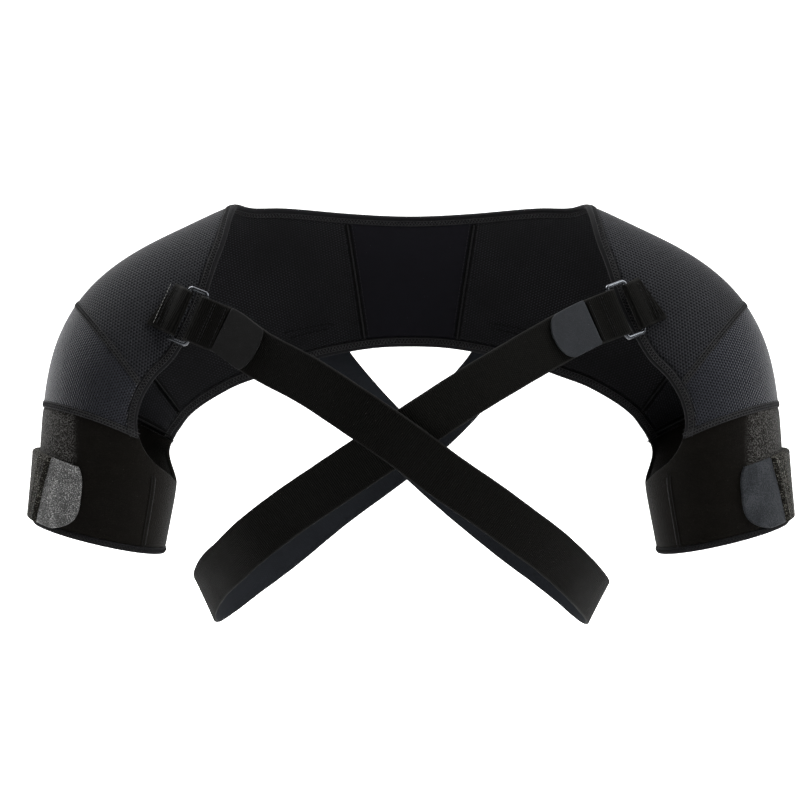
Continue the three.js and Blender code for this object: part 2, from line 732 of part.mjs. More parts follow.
function strapStations(strap, frame) {
  const { curve, controls } = strapControls(strap, frame);
  const spans = controls.length - 1;
  return spreadEvenly(spans * stepsPerControl).map((share) => {
    const place = Math.min(Math.floor(share * spans), spans - 1);
    const part = share * spans - place;
    const tangent = curve.getTangent(share);
    const width = controls[place].width.clone().lerp(controls[place + 1].width, part);
    width.addScaledVector(tangent, -width.dot(tangent)).normalize();
    return { middle: curve.getPoint(share), width, halfWidth: strapWidth / 2 };
  });
}

// Place on a ribbon's middle line at a length from its start
function placeAlong(run, length) {
  let row = 0;
  let left = length;
  while (row < run.length - 2 && left > run[row].middle.distanceTo(run[row + 1].middle)) {
    left -= run[row].middle.distanceTo(run[row + 1].middle);
    row += 1;
  }
  const [from, to] = [run[row], run[row + 1]];
  const part = left / from.middle.distanceTo(to.middle);
  const tangent = to.middle.clone().sub(from.middle).normalize();
  const width = from.width.clone().lerp(to.width, part).normalize();
  return { middle: from.middle.clone().lerp(to.middle, part), width, tangent };
}

// Hook tab: from the seam on the folded end to its rounded end, laid on the strap
function addStrapTab(name, strap, frame, meshMaterial) {
  const rows = 9;
  const lift = (strapWall + hookTabWall) / 2 + 2 * gap;
  const run = strapStations(strap, frame).slice(runStart * stepsPerControl);
  const roundReach = strapWidth * 0.4;
  const tab = spreadEvenly(rows).map((share) => {
    const reach = mix(foldReach + 4 * gap, strapTabReach, 1 - (1 - share) ** 1.5);
    const { middle, width, tangent } = placeAlong(run, reach - runReach);
    const out = tangent.cross(width).multiplyScalar(strap.hand);
    const rounding = Math.max(reach - strapTabReach + roundReach, 0) / roundReach;
    const halfWidth = (strapWidth / 2) * Math.sqrt(1 - (0.94 * rounding) ** 2.6);
    return { middle: middle.addScaledVector(out, lift), width, halfWidth };
  });
  add(name, ribbon(tab, hookTabWall, strap.hand), meshMaterial);
}

// Assembly
addPanel("back_center_panel", panels.back, 1, smoothNeoprene);
for (const [side, sign] of Object.entries(sides)) {
  addPanel(`shoulder_panel_${side}`, panels.shoulder, sign, meshNeoprene);
  addPanel(`shoulder_cap_${side}`, panels.cap, sign, capNeoprene);
  addCuff(`arm_cuff_${side}`, sign);
  addCuffHem(`cuff_hem_${side}`, sign);
  addCuffStrap(`cuff_strap_${side}`, sign);
  addCuffTab(`cuff_hook_tab_${side}`, sign, tabMaterials.cuff[side]);
  const strap = straps[side];
  const frame = ringFrame(strap);
  addRing(`strap_ring_${side}`, frame);
  addAnchor(`strap_anchor_${side}`, frame, strap);
  add(`chest_strap_${side}`, ribbon(strapStations(strap, frame), strapWall, strap.hand), webbing);
  addStrapTab(`strap_hook_tab_${side}`, strap, frame, tabMaterials.strap[side]);
}
addHem("neck_hem", "neck");
addHem("lower_hem", "lower");

export default brace;
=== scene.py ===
# Shoulder brace, dressed: neoprene panels, loop-pile cuffs, webbing straps and rings.
import math

import bpy
import numpy as np
from mathutils import Matrix, Vector


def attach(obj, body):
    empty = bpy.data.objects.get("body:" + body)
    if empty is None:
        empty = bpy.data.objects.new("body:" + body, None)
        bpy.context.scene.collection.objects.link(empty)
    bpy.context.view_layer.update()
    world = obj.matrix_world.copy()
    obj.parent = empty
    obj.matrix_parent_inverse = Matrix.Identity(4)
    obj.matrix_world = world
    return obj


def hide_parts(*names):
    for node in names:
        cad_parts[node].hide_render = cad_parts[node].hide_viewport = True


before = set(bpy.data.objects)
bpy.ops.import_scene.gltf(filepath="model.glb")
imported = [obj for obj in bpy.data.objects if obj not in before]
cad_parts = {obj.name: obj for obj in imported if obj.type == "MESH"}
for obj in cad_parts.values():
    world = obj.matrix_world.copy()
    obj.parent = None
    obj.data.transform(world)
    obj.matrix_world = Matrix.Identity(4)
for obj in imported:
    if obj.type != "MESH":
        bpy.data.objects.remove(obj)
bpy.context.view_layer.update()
print("frame loaded:", len(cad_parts), "nodes")

millimetre = 0.001  # lengths here are in millimetres, meshes in metres
brace = {
    "halfSpan": 257.0,
    "bodyHeight": 250.0,
    "backDepth": 87.0,
    "wall": 3.0,
    "gap": 0.3,
    "join": 0.02,  # half the space between sewn edges
    "hemWidth": 7.0,
    "hemRise": 0.4,
    "cuffHemWidth": 4.5,
    "pucker": 0.16,  # how far stitching pulls the cloth
    "puckerLength": 7.0,
    "puckerReach": 6.0,
}

# rootX, rootZ, crestX, crestZ, centre, middle, half: middle of the back to the edge of a cuff
sectionTable = np.array([
    [0, -0.155, 0, 0.304, 0.05, 0.25, 0.71],
    [0.11, -0.156, 0.187, 0.299, 0.05, 0.26, 0.71],
    [0.275, -0.19, 0.354, 0.293, 0.05, 0.28, 0.71],
    [0.406, -0.231, 0.48, 0.257, 0.06, 0.25, 0.71],
    [0.487, -0.272, 0.586, 0.203, 0.08, 0.21, 0.7],
    [0.561, -0.314, 0.7, 0.15, 0.15, 0.14, 0.69],
    [0.603, -0.344, 0.804, 0.083, 0.25, 0.07, 0.68],
    [0.627, -0.374, 0.888, -0.005, 0.36, 0.02, 0.67],
    [0.64, -0.406, 0.95, -0.13, 0.45, 0, 0.66],
    [0.64, -0.441, 0.974, -0.286, 0.48, 0, 0.63],
    [0.616, -0.49, 0.98, -0.381, 0.5, 0, 0.61],
    [0.633, -0.578, 0.988, -0.485, 0.5, 0, 0.59],
    [0.654, -0.69, 1, -0.605, 0.5, 0, 0.57],
])
lastSection = len(sectionTable) - 1
underarm = 10  # section where the cuffs close
probe = 0.02  # step in section numbers for slopes
mirrored = sectionTable[1] * [-1, 1, -1, 1, 1, 1, 1]
beyond = [2 * sectionTable[-1] - sectionTable[-1 - step] for step in (1, 2)]
sectionRows = np.vstack([mirrored, sectionTable, beyond])

# section and angle along the two free edges
edgeTable = {
    "neck": [
        (0, 35.3), (1, 32.4), (2, 25), (2.6, 18.5), (2.86, 6), (2.97, -14), (3.2, -33),
        (3.5, -44.1), (4, -58.4), (5, -74.6), (6, -83.6), (7, -95.4), (8, -111.3), (9, -133.6),
        (9.5, -154), (9.8, -167), (9.95, -175), (10, -180),
    ],
    "lower": [
        (0, 91.8), (2, 92.3), (3, 93.2), (4, 94.1), (5, 99.1), (6, 108.6), (7, 123.3),
        (8, 140.4), (9, 153.2), (9.5, 160), (9.8, 168), (9.95, 175), (10, 180),
    ],
}
sectionPace = 20  # degrees that count as much as one section, for even curves
edgePoints = 1441
seams = {"panelSeam": (1, 0), "capSeam": (7, 0.45), "cuffSeam": (9.1, 0.6)}
panels = {
    "back": ("panelSeam", "panelSeam"),
    "shoulder": ("panelSeam", "capSeam"),
    "cap": ("capSeam", "cuffSeam"),
}


def unit(vectors):
    return vectors / np.linalg.norm(vectors, axis=-1, keepdims=True)


def mix(start, end, share):
    return start + (end - start) * share


def bodyFace(station, angle):
    station, angle = np.broadcast_arrays(np.asarray(station, float), np.asarray(angle, float))
    away = np.abs(station)
    first = np.minimum(np.floor(away).astype(int), lastSection)
    part = away - first
    weights = (
        (1 - part) ** 3 / 6,
        (3 * part ** 3 - 6 * part ** 2 + 4) / 6,
        (-3 * part ** 3 + 3 * part ** 2 + 3 * part + 1) / 6,
        part ** 3 / 6,
    )
    row = sum(weight[..., None] * sectionRows[first + step] for step, weight in enumerate(weights))
    turn = np.radians(angle)
    reach = mix(row[..., 4], 1, np.cos(turn))
    x = mix(row[..., 0], row[..., 2], reach) * brace["halfSpan"]
    z = mix(row[..., 1], row[..., 3], reach) * brace["bodyHeight"]
    y = (row[..., 5] + row[..., 6] * np.sin(turn)) * brace["backDepth"]
    return np.stack([np.where(station < 0, -x, x), y, z], -1)


def bodyNormal(station, angle):
    station, angle = np.asarray(station, float), np.asarray(angle, float)
    along = bodyFace(station + probe, angle) - bodyFace(station - probe, angle)
    around = bodyFace(station, angle + 1) - bodyFace(station, angle - 1)
    return unit(np.cross(along, around))


def bodyPoint(station, angle, lift):
    lift = np.asarray(lift, float)[..., None]
    return bodyFace(station, angle) + bodyNormal(station, angle) * lift


def stationAlong(station, angle, distance):
    reach = bodyFace(station + probe, angle) - bodyFace(station - probe, angle)
    return station + distance * 2 * probe / np.linalg.norm(reach, axis=-1)


# how the surface's point moves with the station and with the angle
def surfaceSteps(station, angle, here):
    byStation = (bodyFace(station + probe, angle) - here) / probe
    return byStation, bodyFace(station, angle + 1) - here


# smooth curve through points, as the frame's straps and edges follow it
def smoothCurve(points, share):
    points = np.asarray(points, float)
    share = np.asarray(share, float)
    padded = np.vstack([2 * points[0] - points[1], points, 2 * points[-1] - points[-2]])
    place = share * (len(points) - 1)
    first = np.clip(np.floor(place).astype(int), 0, len(points) - 2)
    part = (place - first)[..., None]
    p0, p1, p2, p3 = (padded[first + step] for step in range(4))
    pairs = ((p0, p1), (p1, p2), (p2, p3))
    d0, d1, d2 = (np.sqrt(np.linalg.norm(b - a, axis=-1))[..., None] for a, b in pairs)
    startPull = ((p1 - p0) / d0 - (p2 - p0) / (d0 + d1) + (p2 - p1) / d1) * d1
    endPull = ((p2 - p1) / d1 - (p3 - p1) / (d1 + d2) + (p3 - p2) / d2) * d1
    square = -3 * p1 + 3 * p2 - 2 * startPull - endPull
    cube = 2 * p1 - 2 * p2 + startPull + endPull
    return p1 + startPull * part + square * part ** 2 + cube * part ** 3


def pathLengths(points):
    steps = np.linalg.norm(np.diff(points, axis=0), axis=-1)
    return np.concatenate([[0], np.cumsum(steps)])


# points found by length along a line of points
def follow(spots, lengths, points):
    return np.stack([np.interp(spots, lengths, points[:, axis]) for axis in range(3)], -1)


# a free edge, or the line a given distance inside it, as stations, angles and lengths
def insetLine(edge, inset):
    right = np.array(edgeTable[edge], float) * [sectionPace, 1]
    points = np.vstack([(right[1:] * [-1, 1])[::-1], right])
    places = smoothCurve(points, np.linspace(0, 1, edgePoints))
    station, angle = places[:, 0] / sectionPace, places[:, 1]
    if inset:
        here = bodyFace(station, angle)
        tangent = np.gradient(here, axis=0)
        inwards = 1 if edge == "neck" else -1
        step = unit(np.cross(bodyNormal(station, angle), tangent)) * inwards * inset
        along, around = surfaceSteps(station, angle, here)
        pairs = ((along, along), (along, around), (around, around), (step, along), (step, around))
        a, b, c, p, q = (np.sum(first * second, -1) for first, second in pairs)
        area = a * c - b * b
        station, angle = station + (p * c - q * b) / area, angle + (q * a - p * b) / area
    return station, angle, pathLengths(bodyFace(station, angle))


def placeOnLine(line, length):
    return np.interp(length, line[2], line[0]), np.interp(length, line[2], line[1])


def seamStation(name, angle):
    crest, bend = seams[name]
    return crest - bend * np.minimum(np.abs(angle) / 90, 2) ** 1.4


def seamLength(line, name):
    past = line[0] - seamStation(name, line[1])
    middle = len(past) // 2 + 1
    number = middle + int(np.argmax(past[middle:] >= 0))
    part = past[number - 1] / (past[number - 1] - past[number])
    return mix(line[2][number - 1], line[2][number], part)


def placeInPanel(line, panel, share):
    end = seamLength(line, panels[panel][1])
    start = line[2][-1] - end if panel == "back" else seamLength(line, panels[panel][0])
    return placeOnLine(line, mix(start, end, share))


hemLines = {edge: insetLine(edge, brace["hemWidth"] + brace["join"]) for edge in edgeTable}
freeLines = {edge: insetLine(edge, 0) for edge in edgeTable}


# shares with small steps at both ends, for rounded borders
def shares(count, fine):
    border = np.array([0, fine, 2.2 * fine])
    return np.concatenate([border, np.linspace(4 * fine, 1 - 4 * fine, count), 1 - border[::-1]])


borderLift = (-0.95, -0.32, -0.08)


# lift along a cloth's borders, down both sides only as far as it is open
def borderDrop(shape, openRows=None):
    lift = np.zeros(shape)
    for row, drop in enumerate(borderLift):
        sides = (lift[:openRows, row], lift[:openRows, -1 - row])
        for cells in (lift[row], lift[-1 - row], *sides):
            np.minimum(cells, drop, out=cells)
    return lift


# lengths walked over a grid of points, along its columns and along its rows
def gridWalk(points):
    steps = (np.diff(points, axis=0, prepend=points[:1]),
             np.diff(points, axis=1, prepend=points[:, :1]))
    return [np.cumsum(np.linalg.norm(step, axis=-1), axis=axis) for axis, step in enumerate(steps)]


# stations and angles over a panel: rows from seam to seam, columns from neck edge to lower edge
def panelPlaces(panel, onwards, across):
    neck = placeInPanel(hemLines["neck"], panel, onwards)
    lower = placeInPanel(hemLines["lower"], panel, onwards)
    u, t = across[None, :], onwards[:, None]
    angle = mix(neck[1][:, None], lower[1][:, None], u)
    station = mix(neck[0][:, None], lower[0][:, None], u)
    first = -1 if panel == "back" else 1
    for name, bending in zip(panels[panel], ((1 - t) * first, t)):
        ends = (seamStation(name, line[1])[:, None] for line in (neck, lower))
        straight = mix(*ends, u)
        station = station + bending * (seamStation(name, angle) - straight)
    station[0] = stationAlong(station[0], angle[0], brace["join"])
    station[-1] = stationAlong(station[-1], angle[-1], -brace["join"])
    return station, angle


# ripple of a panel beside its stitching
def panelRipple(points):
    down, across = gridWalk(points)
    fromSeam = np.minimum(down, down[-1:] - down)
    fromHem = np.minimum(across, across[:, -1:] - across)
    wave, fade = 2 * math.pi / brace["puckerLength"], brace["puckerReach"]
    ripple = np.sin(across * wave + 1.7 * np.sin(across * wave * 0.21)) * np.exp(-fromSeam / fade)
    ripple += np.sin(down * wave + 1.9 * np.sin(down * wave * 0.17)) * np.exp(-fromHem / fade)
    return brace["pucker"] * ripple


meshData = {}


def quads(a, b, c, d):
    return np.stack([a, b, c, d], -1).reshape(-1, 4)


# closed shell between two point grids; from closedFrom on, each row's last point is its first
def shellObject(name, outer, inner, closedFrom=None):
    rows, columns = outer.shape[:2]
    closedFrom = rows if closedFrom is None else closedFrom
    points, index = [], []
    for grid in (outer, inner):
        numbers = np.zeros((rows, columns), int)
        for row in range(rows):
            count = columns - 1 if row >= closedFrom else columns
            start = sum(len(block) for block in points)
            numbers[row, :count] = np.arange(start, start + count)
            points.append(grid[row, :count])
            if count < columns:
                numbers[row, -1] = start
        index.append(numbers)
    out, inn = index
    faces = [quads(out[:-1, :-1], out[1:, :-1], out[1:, 1:], out[:-1, 1:]),
             quads(inn[:-1, :-1], inn[:-1, 1:], inn[1:, 1:], inn[1:, :-1])]
    sheetFaces = [len(faces[0]), len(faces[0]) + len(faces[1])]
    free = min(closedFrom, rows - 1)
    faces.append(quads(inn[:free, 0], inn[1:free + 1, 0], out[1:free + 1, 0], out[:free, 0]))
    faces.append(quads(inn[:free, -1], out[:free, -1], out[1:free + 1, -1], inn[1:free + 1, -1]))
    faces.append(quads(out[0, :-1], out[0, 1:], inn[0, 1:], inn[0, :-1]))
    faces.append(quads(out[-1, :-1], inn[-1, :-1], inn[-1, 1:], out[-1, 1:]))
    piece = meshObject(name, np.concatenate(points), np.concatenate(faces))
    meshData[piece.name] = {
        "index": index, "sheetFaces": sheetFaces, "outer": outer, "inner": inner,
    }
    markLining(piece, range(*sheetFaces))
    return piece


# marks the faces that show the lining
def markLining(piece, faces):
    marked = np.zeros(len(piece.data.polygons))
    marked[list(faces)] = 1
    piece.data.attributes.new("lining", "FLOAT", "FACE").data.foreach_set("value", marked)


# mesh object in metres from four-cornered faces and end caps, turned outwards
def meshObject(name, points, faces, caps=()):
    points = np.asarray(points, float)
    faces = np.asarray(faces)
    corners = points[faces] - points.mean(axis=0)
    volume = np.sum(corners[:, 0] * np.cross(corners[:, 1], corners[:, 2]))
    volume += np.sum(corners[:, 0] * np.cross(corners[:, 2], corners[:, 3]))
    turn = -1 if volume < 0 else 1
    name = f"{name}_worn"
    mesh = bpy.data.meshes.new(name)
    everyFace = faces[:, ::turn].tolist() + [list(cap)[::turn] for cap in caps]
    mesh.from_pydata((points * millimetre).tolist(), [], everyFace)
    mesh.shade_smooth()
    mesh.update()
    piece = bpy.data.objects.new(name, mesh)
    bpy.context.scene.collection.objects.link(piece)
    return piece


# finishing touches every piece shares: body, node, slot and material
def dress(piece, node, finish):
    piece.data.materials.clear()
    piece.data.materials.append(finishes[finish])
    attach(piece, "root")
    if node:
        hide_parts(node)
    return piece


# UV in metres on both faces of a shell, flattened, then turned and scaled by its middle
def flattenCloth(piece):
    data = meshData[piece.name]
    mesh = piece.data
    bpy.ops.object.select_all(action="DESELECT")
    piece.select_set(True)
    bpy.context.view_layer.objects.active = piece
    mesh.uv_layers.new(name="cloth")
    bpy.ops.object.mode_set(mode="EDIT")
    bpy.ops.mesh.select_all(action="DESELECT")
    bpy.ops.object.mode_set(mode="OBJECT")
    count = data["sheetFaces"][1]
    chosen = np.zeros(len(mesh.polygons), bool)
    chosen[:count] = True
    mesh.polygons.foreach_set("select", chosen)
    edgeKeys = {}
    for polygon in mesh.polygons:
        for key in polygon.edge_keys:
            edgeKeys.setdefault(key, []).append(polygon.index < count)
    for edge in mesh.edges:
        edge.use_seam = len(set(edgeKeys[edge.key])) > 1
    bpy.ops.object.mode_set(mode="EDIT")
    bpy.ops.uv.unwrap(method="CONFORMAL", margin=0)
    bpy.ops.object.mode_set(mode="OBJECT")
    layer = mesh.uv_layers["cloth"]
    uv = np.zeros(2 * len(layer.data))
    layer.data.foreach_get("uv", uv)
    uv = uv.reshape(-1, 2)
    corner = np.zeros(len(mesh.loops), int)
    mesh.loops.foreach_get("vertex_index", corner)
    limits = [0] + [4 * number for number in data["sheetFaces"]]
    for face, grid in enumerate((data["outer"], data["inner"])):
        numbers = data["index"][face]
        middle = (grid.shape[0] // 2, grid.shape[1] // 2)
        reach = max(2, grid.shape[0] // 8)
        part = slice(limits[face], limits[face + 1])
        place = dict(zip(corner[part], range(limits[face], limits[face + 1])))
        spots = [(middle[0] + sign * reach, middle[1]) for sign in (-1, 1)]
        a, b = (numbers[spot] for spot in spots)
        start, end = uv[place[a]], uv[place[b]]
        span = complex(*(end - start))
        length = np.linalg.norm(grid[spots[1]] - grid[spots[0]])
        flat = (uv[part] - start) @ [1, 1j] * (length * millimetre / span)
        uv[part] = np.stack([flat.real, flat.imag], -1)
    layer.data.foreach_set("uv", uv.reshape(-1))
    for edge in mesh.edges:
        edge.use_seam = False


# UV in metres on a band: along its length and across it
def bandUv(piece, alongAcross):
    mesh = piece.data
    layer = mesh.uv_layers.new(name="cloth")
    corner = np.zeros(len(mesh.loops), int)
    mesh.loops.foreach_get("vertex_index", corner)
    layer.data.foreach_set("uv", (np.asarray(alongAcross)[corner] * millimetre).reshape(-1))


# a shader tree with short names for its usual nodes
class Shading:
    def __init__(self, tree):
        self.tree = tree
        self.link = tree.links.new

    def add(self, kind, **settings):
        node = self.tree.nodes.new(f"ShaderNode{kind}")
        for name, value in settings.items():
            setattr(node, name, value)
        return node

    def feed(self, socket, value):
        if isinstance(value, bpy.types.NodeSocket):
            self.link(value, socket)
        else:
            socket.default_value = value

    def maths(self, operation, *values):
        node = self.add("Math", operation=operation)
        for socket, value in zip(node.inputs, values):
            self.feed(socket, value)
        return node.outputs[0]

    def plus(self, first, second):
        return self.maths("ADD", first, second)

    def minus(self, first, second):
        return self.maths("SUBTRACT", first, second)

    def times(self, first, second):
        return self.maths("MULTIPLY", first, second)

    def remap(self, value, fromMin, fromMax, toMin=0.0, toMax=1.0, smooth=True):
        node = self.add("MapRange", interpolation_type="SMOOTHSTEP" if smooth else "LINEAR")
        for socket, entry in zip(node.inputs, (value, fromMin, fromMax, toMin, toMax)):
            self.feed(socket, entry)
        return node.outputs[0]

    def noise(self, vector, scale, detail=2.0, roughness=0.5):
        node = self.add("TexNoise")
        settings = {"Vector": vector, "Scale": scale, "Detail": detail, "Roughness": roughness}
        for name, value in settings.items():
            self.feed(node.inputs[name], value)
        return node.outputs["Fac"]

    def cells(self, vector, scale, feature):
        node = self.add("TexVoronoi", feature=feature)
        self.feed(node.inputs["Vector"], vector)
        self.feed(node.inputs["Scale"], scale)
        return node

    def axes(self, vector):
        node = self.add("SeparateXYZ")
        self.link(vector, node.inputs[0])
        return node.outputs

    def mixed(self, under, over, share, blend="MIX"):
        node = self.add("Mix", data_type="RGBA", blend_type=blend)
        for label, value in (("A", under), ("B", over), ("Factor", share)):
            self.feed(node.inputs[label], (*value, 1) if isinstance(value, tuple) else value)
        return node.outputs["Result"]

    def effect(self, group, vector, **settings):
        node = self.add("Group", node_tree=group)
        self.link(vector, node.inputs["Vector"])
        for label, value in settings.items():
            node.inputs[label].default_value = value
        return node.outputs

    # relief from a height, led to the shader
    def relief(self, height, strength, depth, shader):
        bump = self.add("Bump")
        bump.inputs["Distance"].default_value = depth
        self.feed(bump.inputs["Strength"], strength)
        self.link(height, bump.inputs["Height"])
        self.link(bump.outputs["Normal"], shader.inputs["Normal"])


# a group that reads a vector and named numbers, and puts out named values
def newGroup(name, numbers, outputs):
    tree = bpy.data.node_groups.new(name, "ShaderNodeTree")
    tree.interface.new_socket("Vector", in_out="INPUT", socket_type="NodeSocketVector")
    for label, value in numbers.items():
        socket = tree.interface.new_socket(label, in_out="INPUT", socket_type="NodeSocketFloat")
        socket.default_value = value
    for label in outputs:
        tree.interface.new_socket(label, in_out="OUTPUT", socket_type="NodeSocketFloat")
    given = tree.nodes.new("NodeGroupInput").outputs
    return tree, Shading(tree), given, tree.nodes.new("NodeGroupOutput").inputs


# open knit: offset rows of small holes between raised loops, with a painted glint on each hole's
# upper rim
def makeKnit():
    numbers = {"Pitch": 0.002, "Hole": 0.2, "Waver": 0.25}
    tree, on, given, out = newGroup("openKnit", numbers, ("Height", "Hole", "Glint"))
    vector, pitch, stretch = given["Vector"], given["Pitch"], 1.5
    waver = on.noise(vector, 260.0)
    parts = on.axes(vector)
    shift = on.times(on.minus(waver, 0.5), given["Waver"])
    x, y = (on.plus(on.maths("DIVIDE", parts[axis], pitch), shift) for axis in (0, 1))
    tall = on.maths("DIVIDE", y, stretch)

    def nearestCentre(rise):
        distances = []
        for offset in (0.0, 0.5):
            cellX = on.minus(on.maths("FRACT", on.plus(x, offset)), 0.5)
            cellY = on.minus(on.maths("FRACT", on.plus(tall, offset + rise)), 0.5)
            cellY = on.times(cellY, stretch)
            square = on.plus(on.times(cellX, cellX), on.times(cellY, cellY))
            distances.append(on.maths("SQRT", square))
        return on.maths("MINIMUM", *distances)

    hole = on.remap(nearestCentre(0.0), given["Hole"], on.plus(given["Hole"], 0.16), 1.0, 0.0)
    # lighter dot just above each hole: painted glint on the hole's rim, also raised a little as a
    # loop
    loop = on.remap(nearestCentre(0.24), 0.1, 0.32, 1.0, 0.0)
    yarn = on.times(on.noise(vector, 2600.0), 0.35)
    on.link(hole, out["Hole"])
    on.link(on.times(loop, on.minus(1.0, hole)), out["Glint"])
    on.link(on.minus(on.plus(yarn, on.times(loop, 0.3)), hole), out["Height"])
    return tree


# crosswise ribs of an elastic webbing, with plain selvedges
def makeRibs():
    numbers = {"Pitch": 0.0014, "HalfWidth": 0.016}
    tree, on, given, out = newGroup("webbingRibs", numbers, ("Height", "Rib", "Selvedge"))
    vector, circle = given["Vector"], 2 * math.pi
    parts = on.axes(vector)
    waver = on.minus(on.noise(vector, 190.0, 1.0), 0.5)
    along = on.plus(on.maths("DIVIDE", parts[0], given["Pitch"]), on.times(waver, 0.3))
    rib = on.times(on.plus(on.maths("SINE", on.times(along, circle)), 1.0), 0.5)
    across = on.maths("DIVIDE", on.maths("ABSOLUTE", parts[1]), given["HalfWidth"])
    selvedge = on.remap(across, 0.9, 0.95)
    cords = on.maths("SINE", on.times(parts[1], circle / 0.0011))
    body = on.times(rib, on.minus(1.0, selvedge))
    height = on.plus(body, on.times(on.noise(vector, 2200.0), 0.5))
    height = on.plus(on.times(cords, 0.16), height)
    on.link(on.plus(height, on.times(selvedge, 0.7)), out["Height"])
    on.link(body, out["Rib"])
    on.link(selvedge, out["Selvedge"])
    return tree


# brushed pile: matted loops with lighter tips
def makePile():
    numbers = {"Scale": 900.0, "Matting": 0.5}
    tree, on, given, out = newGroup("brushedPile", numbers, ("Height", "Tips"))
    vector, scale = given["Vector"], given["Scale"]
    loops = on.cells(vector, scale, "SMOOTH_F1")
    loops.inputs["Smoothness"].default_value = 0.35
    fine = on.noise(vector, on.times(scale, 1.7), 3.0, 0.7)
    matted = on.noise(vector, on.times(scale, 0.11), 3.0, 0.6)
    raised = on.minus(fine, on.times(loops.outputs["Distance"], 0.8))
    clumps = on.times(matted, given["Matting"])
    on.link(on.plus(raised, clumps), out["Height"])
    on.link(on.remap(on.plus(fine, on.times(clumps, 0.4)), 0.58, 0.86), out["Tips"])
    return tree


# slow changes of shade over the cloth, and loose lint
def makeShade():
    tree, on, given, out = newGroup("clothShade", {}, ("Shade", "Lint"))
    vector = given["Vector"]
    broad, fine = on.noise(vector, 22.0, 3.0, 0.55), on.noise(vector, 420.0, 2.0, 0.6)
    on.link(on.plus(on.times(broad, 0.7), on.times(fine, 0.3)), out["Shade"])
    lint = on.cells(vector, 170.0, "F1")
    on.link(on.remap(lint.outputs["Distance"], 0.03, 0.07, 1.0, 0.0), out["Lint"])
    return tree


knit, ribs, pile, shade = makeKnit(), makeRibs(), makePile(), makeShade()


def newFinish(name):
    finish = bpy.data.materials.new(name)
    finish.use_nodes = True
    on = Shading(finish.node_tree)
    coords = on.add("TexCoord").outputs
    slow = on.effect(shade, coords["Object"])
    return finish, on, on.tree.nodes["Principled BSDF"], coords, slow


# share of the lighter pile on the outer side of a cuff, above its strip, never on the inner face:
# partly a brushed patch, partly painted sheen where light grazes the flank
def brushedShare(on, place, face, near, far):
    x, _, z = on.axes(place)
    outward = on.remap(on.maths("ABSOLUTE", x), near, far)
    tips = on.remap(on.noise(place, 1100.0, 2.0, 0.6), 0.46, 0.63)
    outside = on.times(on.times(outward, on.remap(z, -0.14, -0.13)), on.minus(1.0, face))
    return on.times(outside, tips)


# what all cloths share
shared = {
    "relief": 0.9, "liningRelief": 0.3, "liningShare": 0.85, "liningAccent": 0.55,
    "lintShare": 0.3, "sheenRoughness": 0.35, "specular": 0.05,
}


# one cloth: two colours mixed by its pattern, which is its relief too; the lining is plainer
def clothFinish(name, look):
    finish, on, shader, coords, slow = newFinish(name)
    pattern = look["pattern"]
    space = "Object" if pattern is pile else "UV"
    effect = on.effect(pattern, coords[space], **look["settings"])
    face = on.add("Attribute", attribute_name="lining").outputs["Fac"]
    colour = on.mixed(look["base"], look["second"], effect[1])
    strength = shared["relief"]
    if "lining" in look:
        colour = on.mixed(colour, look["lining"], on.times(face, shared["liningShare"]))
        strength = on.remap(face, 0.0, 1.0, shared["relief"], shared["liningRelief"])
    cast = on.remap(slow["Shade"], 0.25, 0.75, 0.72, 1.28, smooth=False)
    colour = on.mixed(colour, cast, 1.0, "MULTIPLY")
    # accent: on the knits a painted glint on the holes' rims, on the webbing its lighter selvedges
    if "accent" in look:
        label, tone = look["accent"]
        share = on.times(effect[label], on.remap(face, 0.0, 1.0, 1.0, shared["liningAccent"]))
        share = on.times(share, on.remap(slow["Shade"], 0.35, 0.65, 0.35, 1.0))
        colour = on.mixed(colour, tone, share)
    # lighter pile on a cuff's outer flank: a brushed patch with painted sheen
    if "brushed" in look:
        near, far, tone = look["brushed"]
        colour = on.mixed(colour, tone, brushedShare(on, coords["Object"], face, near, far))
    lint = tuple(min(1.0, 3 * max(pair) + 0.02) for pair in zip(look["base"], look["second"]))
    colour = on.mixed(colour, lint, on.times(slow["Lint"], shared["lintShare"]))
    on.link(colour, shader.inputs["Base Color"])
    rough = look["roughness"]
    gloss = on.remap(slow["Shade"], 0.3, 0.7, rough - 0.06, rough + 0.08)
    on.link(gloss, shader.inputs["Roughness"])
    on.relief(effect["Height"], strength, look["relief"], shader)
    shader.inputs["Sheen Weight"].default_value = look["sheen"]
    shader.inputs["Sheen Roughness"].default_value = shared["sheenRoughness"]
    shader.inputs["Specular IOR Level"].default_value = shared["specular"]
    return finish


def pileLook(base, second, scale, matting, relief, sheen, roughness, **more):
    return {"base": base, "second": second, "pattern": pile,
            "settings": {"Scale": scale, "Matting": matting},
            "relief": relief, "sheen": sheen, "roughness": roughness, **more}


# glint: colour of the painted glint on the holes' rims
def knitLook(base, second, relief, sheen, roughness, glint):
    return {"base": base, "second": second, "pattern": knit,
            "settings": {"Pitch": 0.0023, "Hole": 0.2, "Waver": 0.4},
            "relief": relief, "sheen": sheen, "roughness": roughness,
            "lining": (0.0038, 0.0038, 0.0042), "accent": ("Glint", glint)}


def threadLook(base, second, sheen, roughness=0.7):
    return pileLook(base, second, 2400.0, 0.3, 0.00008, sheen, roughness)


